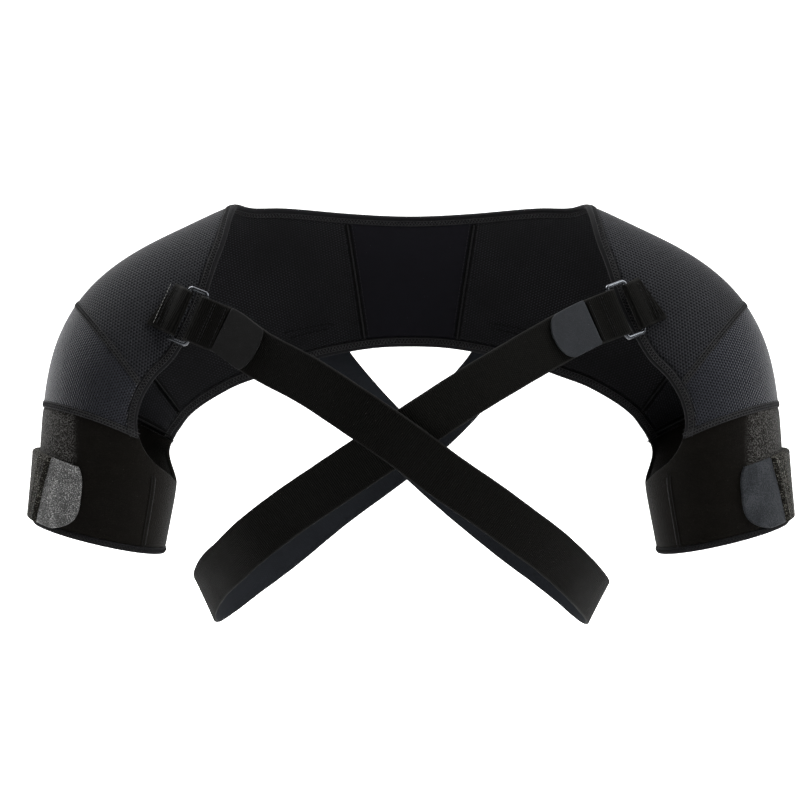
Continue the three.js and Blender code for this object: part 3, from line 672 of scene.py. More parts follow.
looks = {
    "smooth neoprene": pileLook((0.005, 0.0048, 0.0066), (0.0075, 0.0072, 0.0095),
                                2600.0, 0.1, 0.00005, 0.01, 0.82),
    "mesh neoprene": knitLook((0.0152, 0.0158, 0.0182), (0.0026, 0.0026, 0.0034),
                              0.0004, 0.12, 0.78, (0.037, 0.038, 0.042)),
    "cap neoprene": knitLook((0.0172, 0.0185, 0.0232), (0.003, 0.003, 0.0042),
                             0.00045, 0.3, 0.76, (0.04, 0.042, 0.05)),
    # loop pile of the cuffs, lighter on the outer flank: brushed patch and painted sheen
    "loop pile": pileLook((0.003, 0.0026, 0.002), (0.0088, 0.0078, 0.0062),
                          900.0, 0.5, 0.0003, 0.07, 0.93,
                          brushed=(0.222, 0.229, (0.062, 0.06, 0.057))),
    "hem fabric": pileLook((0.007, 0.007, 0.0077), (0.0155, 0.0155, 0.0165),
                           1500.0, 0.3, 0.00015, 0.04, 0.85, lining=(0.0012, 0.0012, 0.0013)),
    "strip pile": pileLook((0.006, 0.0056, 0.0046), (0.3, 0.29, 0.25),
                           620.0, 0.35, 0.0006, 0.06, 0.9),
    "cuff tab left": pileLook((0.045, 0.045, 0.045), (0.6, 0.6, 0.59),
                              800.0, 0.45, 0.00015, 0.04, 0.75),
    "cuff tab right": pileLook((0.012, 0.0135, 0.0155), (0.034, 0.0365, 0.041),
                               700.0, 0.9, 0.00008, 0.03, 0.6),
    "strap tab left": pileLook((0.009, 0.009, 0.009), (0.021, 0.021, 0.0215),
                               1400.0, 0.4, 0.00008, 0.02, 0.75),
    "strap tab right": pileLook((0.018, 0.0195, 0.022), (0.035, 0.0375, 0.042),
                                1500.0, 0.5, 0.00008, 0.03, 0.65),
    "webbing": {"base": (0.0008, 0.0008, 0.0007), "second": (0.0054, 0.0052, 0.0045),
                "pattern": ribs, "settings": {"Pitch": 0.0014, "HalfWidth": 0.016},
                "relief": 0.0003, "sheen": 0.0, "roughness": 0.85,
                "lining": (0.0125, 0.014, 0.017), "accent": ("Selvedge", (0.011, 0.0108, 0.0102))},
    "thread": threadLook((0.028, 0.028, 0.029), (0.088, 0.0875, 0.086), 0.04),
    "inner thread": threadLook((0.012, 0.012, 0.0125), (0.035, 0.035, 0.0345), 0.02),
    # near black: the tack's stitches with the painted shadow of their dents
    "tack thread with painted shadow": threadLook((0.0012, 0.0012, 0.0013), (0.003, 0.003, 0.0032), 0.0, 0.8),
    # pale: the left anchor's edge stitching with the painted highlight of light catching that edge
    "thread with painted highlight": threadLook((0.12, 0.12, 0.115), (0.3, 0.3, 0.29), 0.04),
}
finishes = {name: clothFinish(name, look) for name, look in looks.items()}


def ringFinish(name):
    finish, on, shader, coords, slow = newFinish(name)
    colour = on.mixed((0.03, 0.032, 0.036), (0.08, 0.085, 0.093), slow["Shade"])
    on.link(colour, shader.inputs["Base Color"])
    scratch = on.noise(coords["Object"], 1500.0, 4.0, 0.7)
    on.link(on.remap(scratch, 0.35, 0.7, 0.2, 0.34), shader.inputs["Roughness"])
    on.relief(scratch, 0.15, 0.00005, shader)
    shader.inputs["Metallic"].default_value = 0.9
    return finish


finishes["ring plating"] = ringFinish("ring plating")
print("finishes made:", len(finishes))


cloth = {
    "shoulderRows": 112, "capRows": 36, "backRows": 40, "panelColumns": 56, "cuffColumns": 120,
    "panelBorder": 0.35, "columnBorder": 0.006, "cuffBorder": 0.0022,
    "cuffOpenRows": 12, "cuffRows": 26, "cuffBend": 0.4,
}


# a cloth's finishing touches, the same as every piece's
def dressCloth(piece, node, finish):
    return dress(piece, node, finish)


def addPanel(name, panel, side, rows, finish):
    onwards = shares(rows, cloth["panelBorder"] / rows)
    across = shares(cloth["panelColumns"], cloth["columnBorder"])
    station, angle = panelPlaces(panel, onwards, across)
    ripple = panelRipple(bodyFace(station, angle))
    border = borderDrop(station.shape)
    outer = bodyPoint(side * station, angle, border + ripple)
    inner = bodyPoint(side * station, angle, ripple - brace["wall"] - border)
    piece = shellObject(name, outer, inner)
    flattenCloth(piece)
    return dressCloth(piece, name, finish)


sides = {"left": -1, "right": 1}
addPanel("back_center_panel", "back", 1, cloth["backRows"], "smooth neoprene")
for side, hand in sides.items():
    addPanel(f"shoulder_panel_{side}", "shoulder", hand, cloth["shoulderRows"],
             "mesh neoprene")
    addPanel(f"shoulder_cap_{side}", "cap", hand, cloth["capRows"], "cap neoprene")
print("panels laid")


# a cuff: rows open towards the chest down to the underarm, then closed rows down to the hem
def addCuff(name, side):
    u = shares(cloth["cuffColumns"], cloth["cuffBorder"])
    starts = {edge: seamLength(freeLines[edge], "cuffSeam") for edge in ("neck", "lower")}
    hemInset = -brace["cuffHemWidth"] - brace["join"]
    bend = cloth["cuffBend"]
    plan = []
    openShares = np.concatenate([[0, 0.02, 0.045], np.linspace(0.1, 1, cloth["cuffOpenRows"])])
    for share in openShares:
        ends = [placeOnLine(freeLines[edge], mix(start, freeLines[edge][2][-1], share))
                for edge, start in starts.items()]
        plan.append((ends, 1 - (1 - bend) * share, 0))
    for share in np.concatenate([np.linspace(0.03, 0.94, cloth["cuffRows"]), [0.978, 0.991, 1]]):
        plan.append((((underarm, -180), (underarm, 180)), bend * (1 - share), share))
    rows = []
    for ends, bending, down in plan:
        angle = mix(ends[0][1], ends[1][1], u)
        straight = mix(*(seamStation("cuffSeam", end[1]) for end in ends), u)
        station = mix(ends[0][0], ends[1][0], u)
        station += bending * (seamStation("cuffSeam", angle) - straight)
        rows.append((mix(station, stationAlong(float(lastSection), angle, hemInset), down), angle))
    station, angle = (np.array(part) for part in zip(*rows))
    station[0] = stationAlong(station[0], angle[0], brace["join"])
    lift = borderDrop(station.shape, len(openShares))
    outer = bodyPoint(side * station, angle, lift)
    inner = bodyPoint(side * station, angle, -brace["wall"] - lift)
    piece = shellObject(name, outer, inner, closedFrom=len(openShares) - 1)
    return dressCloth(piece, name, "loop pile")


for side, hand in sides.items():
    addCuff(f"arm_cuff_{side}", hand)
print("cuffs laid")


# tube of rings, each ring closed; the tube itself open with caps, or closed
def ringsToMesh(rings, closedAlong=False, start=0):
    count, around = rings.shape[:2]
    numbers = start + np.arange(count * around).reshape(count, around)
    ahead = np.roll(numbers, -1, axis=0) if closedAlong else numbers[1:]
    here = numbers if closedAlong else numbers[:-1]
    faces = quads(here, np.roll(here, -1, axis=1), np.roll(ahead, -1, axis=1), ahead)
    caps = [] if closedAlong else [numbers[0][::-1].tolist(), numbers[-1].tolist()]
    return rings.reshape(-1, 3), faces, caps


def tubeObject(name, rings, closedAlong=False):
    points, faces, caps = ringsToMesh(rings, closedAlong)
    return meshObject(name, points, faces, caps)


# a hem's cut: distance from the free edge and lift
hemCut = [
    (7.0, -0.9), (7.0, 0.1), (6.7, 0.36), (6.0, 0.45), (5.2, 0.36), (3.3, 0.32), (2.3, 0.45),
    (1.2, 0.36), (0.5, 0.0), (0.1, -0.7), (0.0, -1.5), (0.1, -2.3), (0.5, -3.0), (1.2, -3.36),
    (2.3, -3.45), (3.3, -3.32), (5.2, -3.36), (6.0, -3.45), (6.7, -3.36), (7.0, -3.1), (7.0, -2.1),
]
hemPoints = {"back": 90, "shoulder": 230, "cap": 70}
cuffHemPoints = 160


# stations and angles along a line from cuff seam to cuff seam, spaced as the panels are
def seamToSeam(line):
    back, shoulder, cap = (placeInPanel(line, panel, np.linspace(0, 1, count))
                           for panel, count in hemPoints.items())
    station, angle = (np.concatenate([shoulder[part], cap[part][1:]]) for part in (0, 1))
    return (np.concatenate([-station[::-1], back[0][1:-1], station]),
            np.concatenate([angle[::-1], back[1][1:-1], angle]))


def addHem(name, edge):
    rings = []
    for distance, lift in hemCut:
        line = insetLine(edge, distance) if distance else freeLines[edge]
        station, angle = seamToSeam(line)
        rings.append(bodyPoint(station, angle, lift))
    piece = tubeObject(name, np.stack(rings, axis=1))
    return dress(piece, name, "hem fabric")


def addCuffHem(name, side):
    angle = np.linspace(-180, 180, cuffHemPoints + 1)[:-1]
    scale = brace["cuffHemWidth"] / brace["hemWidth"]
    rings = []
    for distance, lift in hemCut:
        station = stationAlong(float(lastSection), angle, -distance * scale)
        rings.append(bodyPoint(side * station, angle, lift))
    piece = tubeObject(name, np.stack(rings, axis=1), closedAlong=True)
    return dress(piece, name, "hem fabric")


addHem("neck_hem", "neck")
addHem("lower_hem", "lower")
for side, hand in sides.items():
    addCuffHem(f"cuff_hem_{side}", hand)
print("hems folded")

# strip and hook tab laid on each cuff, by section and angle
closing = {
    "top": 10.2, "bottom": 11.9, "back": 110, "frontTop": -42, "frontBottom": -27, "tabFront": -74,
    "stripWall": 4.3, "stripEdge": 0.35, "stripRound": 2.0, "bindingWidth": 9.0, "groove": 1.3,
    "grooveHalf": 0.9, "lump": 0.12,
    "stripDown": (44, 0.012), "stripAround": (110, 0.0035),
    "tabWall": 1.5, "tabEdge": 0.3, "tabRound": 1.1, "tabUnder": 0.6, "tabWave": 0.1,
    "tabDown": (48, 0.012), "tabAround": (36, 0.016),
}
closing["base"] = brace["hemRise"] + brace["gap"]


# a pad's height over its footprint, rounded at its borders, from distances to them
def padHeight(distance, kind):
    edge = closing[f"{kind}Edge"]
    inside = np.clip(distance / closing[f"{kind}Round"], 0, 1)
    return edge + (closing[f"{kind}Wall"] - edge) * np.sqrt(1 - (1 - inside) ** 2)


# stations of a pad over its angles, and the lengths walked down and along it
def padPlaces(angle, down):
    station = mix(closing["top"], closing["bottom"], down)[:, None]
    station = np.broadcast_to(station, angle.shape)
    return station, *gridWalk(bodyFace(station, angle))


def addPad(name, side, station, angle, height, finish):
    outer = bodyPoint(side * station, angle, closing["base"] + height)
    inner = bodyPoint(side * station, angle, closing["base"])
    return dress(shellObject(name, outer, inner), name, finish)


def addCuffStrip(name, side):
    down, around = shares(*closing["stripDown"]), shares(*closing["stripAround"])
    front = mix(closing["frontTop"], closing["frontBottom"], down)[:, None]
    angle = mix(front, closing["back"], around[None, :])
    station, walkDown, along = padPlaces(angle, down)
    border = np.minimum(walkDown, walkDown[-1:] - walkDown)
    border = np.minimum(border, np.minimum(along, along[:, -1:] - along))
    height = padHeight(border, "strip")
    for place, depth in ((closing["bindingWidth"], 1.0), (closing["bindingWidth"] * 0.5, 0.55)):
        groove = np.exp(-(((along - place) / closing["grooveHalf"]) ** 2))
        height -= closing["groove"] * depth * groove
    lumps = np.sin(walkDown * 2.1 + 3 * np.sin(along * 0.37)) * np.sin(along * 1.3)
    height += closing["lump"] * lumps * (border > 1.5)
    addPad(name, side, station, angle, height, "strip pile")


# a tab with its top corner a little rounded and its lower corner more
def addCuffTab(name, side, finish):
    down, around = shares(*closing["tabDown"]), shares(*closing["tabAround"])
    front = mix(closing["frontTop"], closing["frontBottom"], down) - closing["tabUnder"]
    low = down > 0.5
    rounding = np.where(low, 0.93, 0.72) * np.abs(2 * down - 1)
    reach = mix(front, closing["tabFront"], np.sqrt(1 - rounding ** np.where(low, 3.0, 4.0)))
    angle = mix(reach[:, None], front[:, None], around[None, :])
    station, walkDown, along = padPlaces(angle, down)
    border = np.minimum(np.minimum(walkDown, walkDown[-1:] - walkDown), along)
    wave = np.sin(walkDown * 0.31 + 1) * np.sin(along * 0.27) * np.clip(border / 4, 0, 1)
    height = padHeight(border, "tab") + closing["tabWave"] * wave
    addPad(name, side, station, angle, height, finish)


for side, hand in sides.items():
    addCuffStrip(f"cuff_strap_{side}", hand)
    addCuffTab(f"cuff_hook_tab_{side}", hand, f"cuff tab {side}")
print("closings laid")

webbing = {
    "width": 32.0, "wall": 2.0, "slack": 0.04, "endRounding": 0.06, "strapStep": 1.5,
    "liningFrom": 0.06, "liningCells": (13, 23),  # the band's inner side, but not in its fold
    "ringLength": 40.0, "ringWidth": 17.3, "ringWire": 3.0, "ringCorner": 2.2, "ringPoints": 48,
    "wirePoints": 20, "pitch": 26.0, "twist": 0.4,
    "anchorWall": 1.4, "anchorReach": 13.6, "anchorBead": 0.05, "anchorPoints": 110,
    "foldReach": 19.0, "foldPoints": 8, "densePoints": 6000,
    "tabReach": 51.0, "tabWall": 1.5, "tabStep": 0.5, "tabPoints": 70,
}
webbing["base"] = closing["base"]
webbing["foldRadius"] = webbing["ringWire"] / 2 + brace["gap"]
webbing["barSpacing"] = webbing["ringWidth"] - webbing["ringWire"]

# across, deep, high as shares of the body, and lean in degrees
straps = {
    "left": {
        "hand": 1, "ring": (-0.5775, -0.0412), "fall": 24, "tabRound": 0.2,
        "route": [
            (-0.395, -0.86, -0.129, -12), (-0.262, -1.085, -0.197, -9),
            (-0.152, -1.235, -0.267, -5), (-0.029, -1.295, -0.352, -1),
            (0.09, -1.295, -0.443, 0), (0.197, -1.25, -0.52, 2),
            (0.28, -1.17, -0.585, 6), (0.357, -1.03, -0.648, 12), (0.428, -0.78, -0.721, 20),
            (0.47, -0.46, -0.775, 26), (0.494, -0.09, -0.817, 28), (0.492, 0.25, -0.838, 26),
            (0.467, 0.56, -0.833, 20), (0.424, 0.8, -0.802, 12), (0.365, 0.95, -0.757, 6),
            (0.28, 1.04, -0.693, 2), (0.1, 1.1, -0.54, 0), (-0.073, 1.075, -0.37, 0),
        ],
        "sewn": [(-0.166, -0.262), (-0.224, -0.185), (-0.27, -0.08)],
    },
    "right": {
        "hand": -1, "ring": (0.5554, -0.0242), "fall": 23, "tabRound": 0.38,
        "route": [
            (0.355, -0.84, -0.105, -12), (0.25, -1.02, -0.163, -9), (0.156, -1.14, -0.218, -5),
            (0.03, -1.215, -0.3, -1), (-0.09, -1.21, -0.382, 0), (-0.218, -1.15, -0.472, 2),
            (-0.312, -1.07, -0.54, 6), (-0.41, -0.96, -0.62, 12), (-0.473, -0.736, -0.686, 18),
            (-0.516, -0.48, -0.735, 24), (-0.545, -0.12, -0.795, 26), (-0.54, 0.22, -0.83, 24),
            (-0.505, 0.56, -0.822, 18), (-0.44, 0.83, -0.78, 10), (-0.35, 1.03, -0.716, 4),
            (-0.211, 1.16, -0.6, 0), (-0.048, 1.19, -0.475, 0), (0.08, 1.145, -0.365, 0),
        ],
        "sewn": [(0.166, -0.262), (0.224, -0.185), (0.27, -0.08)],
    },
}


chestStart, backStart = (4.5, -60.0), (2.0, 80.0)  # station and angle to search from
searchRounds, stationStep, angleStep = 30, 0.5, 20


# station and angle of the body straight behind a place in the front view
def findOnBody(across, high, start):
    side = math.copysign(1, across)
    station, angle = start
    for _ in range(searchRounds):
        here = bodyFace(station, angle)
        byStation, byAngle = surfaceSteps(station, angle, here)
        missX, missZ = abs(across) - here[0], high - here[2]
        area = byStation[0] * byAngle[2] - byStation[2] * byAngle[0]
        onStation = (missX * byAngle[2] - missZ * byAngle[0]) / area
        onAngle = (byStation[0] * missZ - byStation[2] * missX) / area
        station += float(np.clip(onStation, -stationStep, stationStep))
        angle += float(np.clip(onAngle, -angleStep, angleStep))
    return side * station, angle


def onChest(across, high, lift):
    return bodyPoint(*findOnBody(across, high, chestStart), lift)


def turnAbout(vector, axis, degrees):
    return np.array(Matrix.Rotation(math.radians(degrees), 3, Vector(axis)) @ Vector(vector))


def ringFrame(strap):
    hand = strap["hand"]
    across, high = strap["ring"][0] * brace["halfSpan"], strap["ring"][1] * brace["bodyHeight"]
    station, angle = findOnBody(across, high, chestStart)
    slope = bodyNormal(station, angle)
    fall = math.radians(strap["fall"])
    front = np.array([hand * math.cos(fall), 0, -math.sin(fall)])
    onSlope = front - slope * np.dot(front, slope)
    width = np.cross(slope, onSlope) * hand
    width = unit(width * [1, webbing["twist"], 1])
    flat = unit(onSlope - width * np.dot(onSlope, width))
    normal = np.cross(flat, width) * hand
    along = turnAbout(flat, width, -hand * webbing["pitch"])
    out = np.cross(along, width) * hand
    middle = bodyPoint(station, angle, 0) - flat * webbing["barSpacing"] / 2
    seats = []
    for end in (-1, -0.5, 0, 0.5, 1):
        under = middle + width * end * webbing["ringLength"] / 2
        seats.append(np.dot(onChest(under[0], under[2], webbing["base"]) - under, normal))
    outerBar = middle + normal * (max(seats) + webbing["anchorWall"] + webbing["foldRadius"])
    innerBar = outerBar + along * webbing["barSpacing"]
    return {"normal": normal, "flat": flat, "width": width, "along": along, "out": out,
            "outerBar": outerBar, "innerBar": innerBar}


# the ring: a small torus, its four quarters drawn apart into a rounded oblong
def addRing(name, place):
    bpy.ops.object.select_all(action="DESELECT")
    bpy.ops.mesh.primitive_torus_add(
        major_radius=webbing["ringCorner"] * millimetre,
        minor_radius=webbing["ringWire"] / 2 * millimetre,
        major_segments=webbing["ringPoints"], minor_segments=webbing["wirePoints"],
        rotation=(0, 0, math.pi / webbing["ringPoints"]))
    ring = bpy.context.active_object
    ring.name = ring.data.name = f"{name}_wire"
    bpy.ops.object.transform_apply(rotation=True)
    bpy.context.tool_settings.mesh_select_mode = (True, False, False)
    halves = ((webbing["ringLength"] - webbing["ringWire"]) / 2, webbing["barSpacing"] / 2)
    for axis, half in enumerate(halves):
        for sign in (1, -1):
            for parts in (ring.data.polygons, ring.data.edges):
                parts.foreach_set("select", [False] * len(parts))
            for vertex in ring.data.vertices:
                vertex.select = vertex.co[axis] * sign > 0
            shift = [0, 0, 0]
            shift[axis] = sign * (half - webbing["ringCorner"]) * millimetre
            bpy.ops.object.mode_set(mode="EDIT")
            bpy.ops.transform.translate(value=shift)
            bpy.ops.object.mode_set(mode="OBJECT")
    centre = (place["outerBar"] + place["innerBar"]) / 2 * millimetre
    columns = (place["width"], place["along"], place["out"] * -1)
    turn = Matrix([list(row) for row in zip(*columns)]).to_4x4()
    if turn.determinant() < 0:
        turn = turn @ Matrix.Diagonal((1, 1, -1, 1))
    ring.data.transform(Matrix.Translation(Vector(centre)) @ turn)
    bpy.ops.object.shade_smooth()
    ring.data.update()
    return dress(ring, name, "ring plating")


# cut of a band of webbing: across and out, as shares of its half width and its thickness
def bandCut(width, wall, bead):
    half, radius = width / 2, wall / 2
    inwards = [half - share * radius for share in (0, 0.12, 0.5, 1.2, 2.4)] + [half / 2, 0]
    lift = [0, 0.55 * radius, 0.92 * radius, radius + bead, radius + bead * 0.3, radius, radius]
    quarter = list(zip(inwards, lift))
    top = quarter + [(-a, b) for a, b in quarter[-2::-1]]
    return np.array(top + [(a, -b) for a, b in top[-2:0:-1]])


# band along middles with a width direction each
def bandObject(name, middles, widths, hand, halfWidth, wall, bead=0.12):
    tangents = unit(np.gradient(middles, axis=0))
    widths = unit(widths - tangents * np.sum(widths * tangents, -1, keepdims=True))
    normals = unit(np.cross(tangents, widths) * hand)
    halfWidth = np.broadcast_to(halfWidth, len(middles))
    lengths = pathLengths(middles)
    rings, uv = [], []
    for number in range(len(middles)):
        cut = bandCut(2 * halfWidth[number], wall, bead)
        rings.append(middles[number] + cut[:, :1] * widths[number] + cut[:, 1:] * normals[number])
        uv.append(np.stack([np.full(len(cut), lengths[number]), cut[:, 0]], -1))
    rings = np.array(rings)
    for end in (0, -1):
        rings[end] = mix(rings[end], middles[end], webbing["endRounding"])
    piece = tubeObject(name, rings)
    bandUv(piece, np.concatenate(uv))
    return piece, lengths[-1]


# fine middles and widths along an anchor, from its sewn end round the ring's bar and back
def anchorRun(place):
    foldMiddle = webbing["foldRadius"] + webbing["anchorWall"] / 2
    layer = webbing["anchorWall"] + brace["gap"]
    reach = webbing["anchorReach"]
    profile = [(-reach, layer), (-reach * 0.6, layer),
               (-foldMiddle * 1.6, foldMiddle * 1.8), (-foldMiddle * 0.75, foldMiddle * 2)]
    for degrees in np.linspace(90, -90, 7):
        turn = math.radians(degrees)
        profile.append((foldMiddle * math.cos(turn), foldMiddle * (1 + math.sin(turn))))
    profile += [(-reach * 0.5, 0), (-reach, 0)]
    floor = place["outerBar"] - place["normal"] * foldMiddle
    ends = []
    for along, lift in profile:
        settle = min(max(-along / reach, 0), 1)
        pair = []
        for end in (-1, 1):
            flat = floor + place["flat"] * along + place["width"] * end * webbing["width"] / 2
            seated = onChest(flat[0], flat[2], webbing["base"] + webbing["anchorWall"] / 2)
            pair.append(mix(flat, seated, settle) + place["normal"] * lift)
        ends.append(pair)
    ends = np.array(ends)
    part = np.linspace(0, 1, webbing["anchorPoints"])
    near, far = smoothCurve(ends[:, 0], part), smoothCurve(ends[:, 1], part)
    middles = (near + far) / 2
    return middles, unit(far - near), pathLengths(middles), np.linalg.norm(far - near, axis=-1) / 2


def dressBand(piece, name):
    return dress(piece, name, "webbing")


def addAnchor(name, place, strap):
    middles, widths, lengths, halfWidth = anchorRun(place)
    piece, length = bandObject(name, middles, widths, strap["hand"], halfWidth,
                               webbing["anchorWall"], webbing["anchorBead"])
    return dressBand(piece, name)


# control points of a strap, from the seam of its hook tab round the ring to its sewn end
def strapControls(strap, place):
    foldMiddle = webbing["foldRadius"] + webbing["wall"] / 2
    layer = webbing["wall"] + brace["gap"]
    reach = webbing["foldReach"]
    local = [(reach, layer - foldMiddle), (reach * 0.7, layer - foldMiddle),
             (reach * 0.4, foldMiddle * 0.35)]
    for degrees in np.linspace(90, 270, 5):
        turn = math.radians(degrees)
        local.append((foldMiddle * math.cos(turn), foldMiddle * math.sin(turn)))
    local += [(reach * 0.5, -foldMiddle), (reach * 1.2, -foldMiddle)]
    middles = [place["innerBar"] + place["along"] * along + place["out"] * out
               for along, out in local]
    scale = np.array([brace["halfSpan"], brace["backDepth"], brace["bodyHeight"]])
    middles += [np.array(row[:3]) * scale for row in strap["route"]]
    sewnLift = brace["hemRise"] + 2 * brace["gap"] + webbing["wall"] / 2
    normals = []
    for across, high in strap["sewn"]:
        spot = findOnBody(across * brace["halfSpan"], high * brace["bodyHeight"], backStart)
        middles.append(bodyPoint(*spot, sewnLift))
        normals.append(bodyNormal(*spot))
    middles = np.array(middles)
    count = len(middles)
    widths = []
    for number in range(count):
        if number < len(local):
            widths.append(place["width"])
            continue
        near = number / (count - 1) + np.array([-0.0001, 0.0001])
        ends = smoothCurve(middles, np.clip(near, 0, 1))
        tangent = unit(ends[1] - ends[0])
        if number >= count - len(normals):
            widths.append(unit(np.cross(normals[number - count], tangent) * strap["hand"]))
            continue
        lean = strap["route"][number - len(local)][3]
        up = unit(np.array([0, 0, 1]) - tangent * tangent[2])
        widths.append(turnAbout(up, tangent, strap["hand"] * lean))
    return middles, np.array(widths)


# fine middles and widths along a strap, from one of its control points to its end
def strapRun(strap, place, first=0, step=webbing["strapStep"]):
    middles, widths = strapControls(strap, place)
    count = len(middles) - 1
    dense = np.linspace(first / count, 1, webbing["densePoints"])
    points = smoothCurve(middles, dense)
    turned = follow(dense * count, np.arange(count + 1), widths)
    lengths = pathLengths(points)
    even = np.linspace(0, lengths[-1], int(lengths[-1] / step))
    return follow(even, lengths, points), unit(follow(even, lengths, turned)), even


def addStrap(name, strap, place):
    points, widths, lengths = strapRun(strap, place)
    slack = webbing["slack"] * np.sin(lengths / 3.1 + 2 * np.sin(lengths / 41))
    piece, length = bandObject(name, points, widths, strap["hand"], webbing["width"] / 2 + slack,
                               webbing["wall"])
    around = len(bandCut(1, 1, 0))
    rows = range(int(webbing["liningFrom"] * len(lengths)), len(lengths) - 1)
    cells = range(*webbing["liningCells"])
    markLining(piece, [row * around + cell for row in rows for cell in cells])
    print(name, "length", round(length))
    return dressBand(piece, name)


def addStrapTab(name, strap, place, finish):
    points, widths, lengths = strapRun(strap, place, webbing["foldPoints"], webbing["tabStep"])
    start, end = webbing["foldReach"] + 4 * brace["gap"], webbing["tabReach"]
    reach = mix(start, end, 1 - (1 - np.linspace(0, 1, webbing["tabPoints"])) ** 1.5)
    spot = reach - webbing["foldReach"] * 0.5
    middles, across = follow(spot, lengths, points), unit(follow(spot, lengths, widths))
    out = unit(np.cross(unit(np.gradient(middles, axis=0)), across) * strap["hand"])
    roundReach = webbing["width"] * strap["tabRound"]
    rounding = np.maximum(reach - end + roundReach, 0) / roundReach
    halfWidth = webbing["width"] / 2 * np.sqrt(np.maximum(1 - (0.985 * rounding) ** 2.6, 0.002))
    lift = (webbing["wall"] + webbing["tabWall"]) / 2 + 2 * brace["gap"]
    piece = bandObject(name, middles + out * lift, across, strap["hand"], halfWidth,
                       webbing["tabWall"], bead=0.0)[0]
    return dress(piece, name, finish)


frames = {}
for side, strap in straps.items():
    place = frames[side] = ringFrame(strap)
    addRing(f"strap_ring_{side}", place)
    addAnchor(f"strap_anchor_{side}", place, strap)
    addStrap(f"chest_strap_{side}", strap, place)
    addStrapTab(f"strap_hook_tab_{side}", strap, place, f"strap tab {side}")
print("straps laid")

sewing = {
    "pitch": 2.3, "seamSteps": 7, "hemSteps": 8, "seamPoints": 200, "cuffHemPoints": 400,
    "thread": 0.25, "hemThread": 0.2, "dashThread": 0.22,
    "dash": 2.0, "dashGap": 0.6, "dashStart": 0.3,
    "weltHalf": 2.4, "weltHeight": 0.36, "weltSink": 0.12, "threadSink": 0.2,
    "needles": (-1.7, 0.0, 1.7), "zigzag": 1.6,
    "ridge": 0.6, "sideRow": 3.1, "sideThread": 0.24, "cuffShift": -1.6, "cuffTrim": 2.0,
    "hemLine": 4.2, "hemNeedles": (-1.7, 1.7), "hemZigzag": 1.5, "hemLift": 0.33,
    "cuffHemLine": 2.6, "cuffZigzag": 1.1,
    "cuffSeamAngle": -134.0, "cuffSeamFrom": 9.75, "cuffSeamTo": 11.86,
    "cuffSeamNeedles": (-1.3, 1.3), "cuffSeamHalf": 2.6, "cuffSeamHeight": 0.5,
    "tack": [((89, -26.7), (55, -19.7)), ((84.5, -30.2), (55, -23.2)), ((55, -19.7), (55, -23.2))],
    "tackThread": 0.3, "rowHalf": 14.5, "edgeHalf": 15.6,
    "foldRows": (1.6, 10.2, 11.8), "anchorRows": (3.0, 7.2), "anchorEdge": 0.7,
    "boxFrom": 3, "boxTo": 27, "boxHalf": 14,
}


# even steps along a line on the body
def evenPath(station, angle, step):
    lengths = pathLengths(bodyFace(station, angle))
    even = np.linspace(0, lengths[-1], max(5, int(lengths[-1] / step)))
    return np.interp(even, lengths, station), np.interp(even, lengths, angle), even


def threadRings(points, normals, radius, sides=5):
    tangents = unit(np.gradient(points, axis=0))
    across = unit(np.cross(normals, tangents))
    up = np.cross(tangents, across)
    turns = 2 * math.pi * np.arange(sides) / sides
    radius = np.broadcast_to(radius, len(points))[:, None, None]
    cosine, sine = (part[None, :, None] for part in (np.cos(turns), np.sin(turns)))
    return points[:, None] + radius * (cosine * across[:, None] + sine * up[:, None])


def threadsObject(name, runs, finish="thread"):
    points, faces, caps, start = [], [], [], 0
    for rings in runs:
        part, partFaces, partCaps = ringsToMesh(rings, start=start)
        points.append(part)
        faces.append(partFaces)
        caps += partCaps
        start += len(part)
    piece = meshObject(name, np.concatenate(points), np.concatenate(faces), caps)
    return dress(piece, None, finish)


# a sewn line's own frame: points on one face of the cloth, the way out of it and the way across
def sewnFrame(station, angle, face, lift):
    normals = bodyNormal(station, angle) * face
    points = bodyFace(station, angle) + normals * (lift if face > 0 else brace["wall"] + lift)
    tangents = unit(np.gradient(points, axis=0))
    return points, normals, np.cross(normals, tangents)


# a thread laid along a sewn line, dipping into the cloth at each stitch
def needleRun(line, lengths, offset, radius=sewing["thread"]):
    points, normals, across = line
    swell = np.abs(np.sin(math.pi * lengths / sewing["pitch"]))[:, None]
    rise = 0.5 * radius + 0.35 * radius * swell
    return threadRings(points + across * offset + normals * rise, normals, radius)


def zigzagRun(line, lengths, half, radius=sewing["hemThread"]):
    points, normals, across = line
    wave = 2 / math.pi * np.arcsin(np.sin(2 * math.pi * lengths / sewing["pitch"]))
    rise = radius * (0.2 + 1.6 * (1 - wave ** 4))[:, None]
    points = points + across * (half * wave)[:, None] + normals * rise
    return threadRings(points, normals, radius, 4)


# raised welt under a flat seam
def weltRings(line, half, height):
    points, normals, across = line
    lengths = pathLengths(points)
    size = np.clip(np.minimum(lengths, lengths[-1] - lengths) / 3 + 0.2, 0, 1)[:, None]
    cut = [(1, -0.5), (0.96, 0.35), (0.55, 0.9), (0, 1),
           (-0.55, 0.9), (-0.96, 0.35), (-1, -0.5), (0, -0.8)]
    rings = [points + (across * half * a + normals * height * b) * size for a, b in cut]
    return np.stack(rings, axis=1)


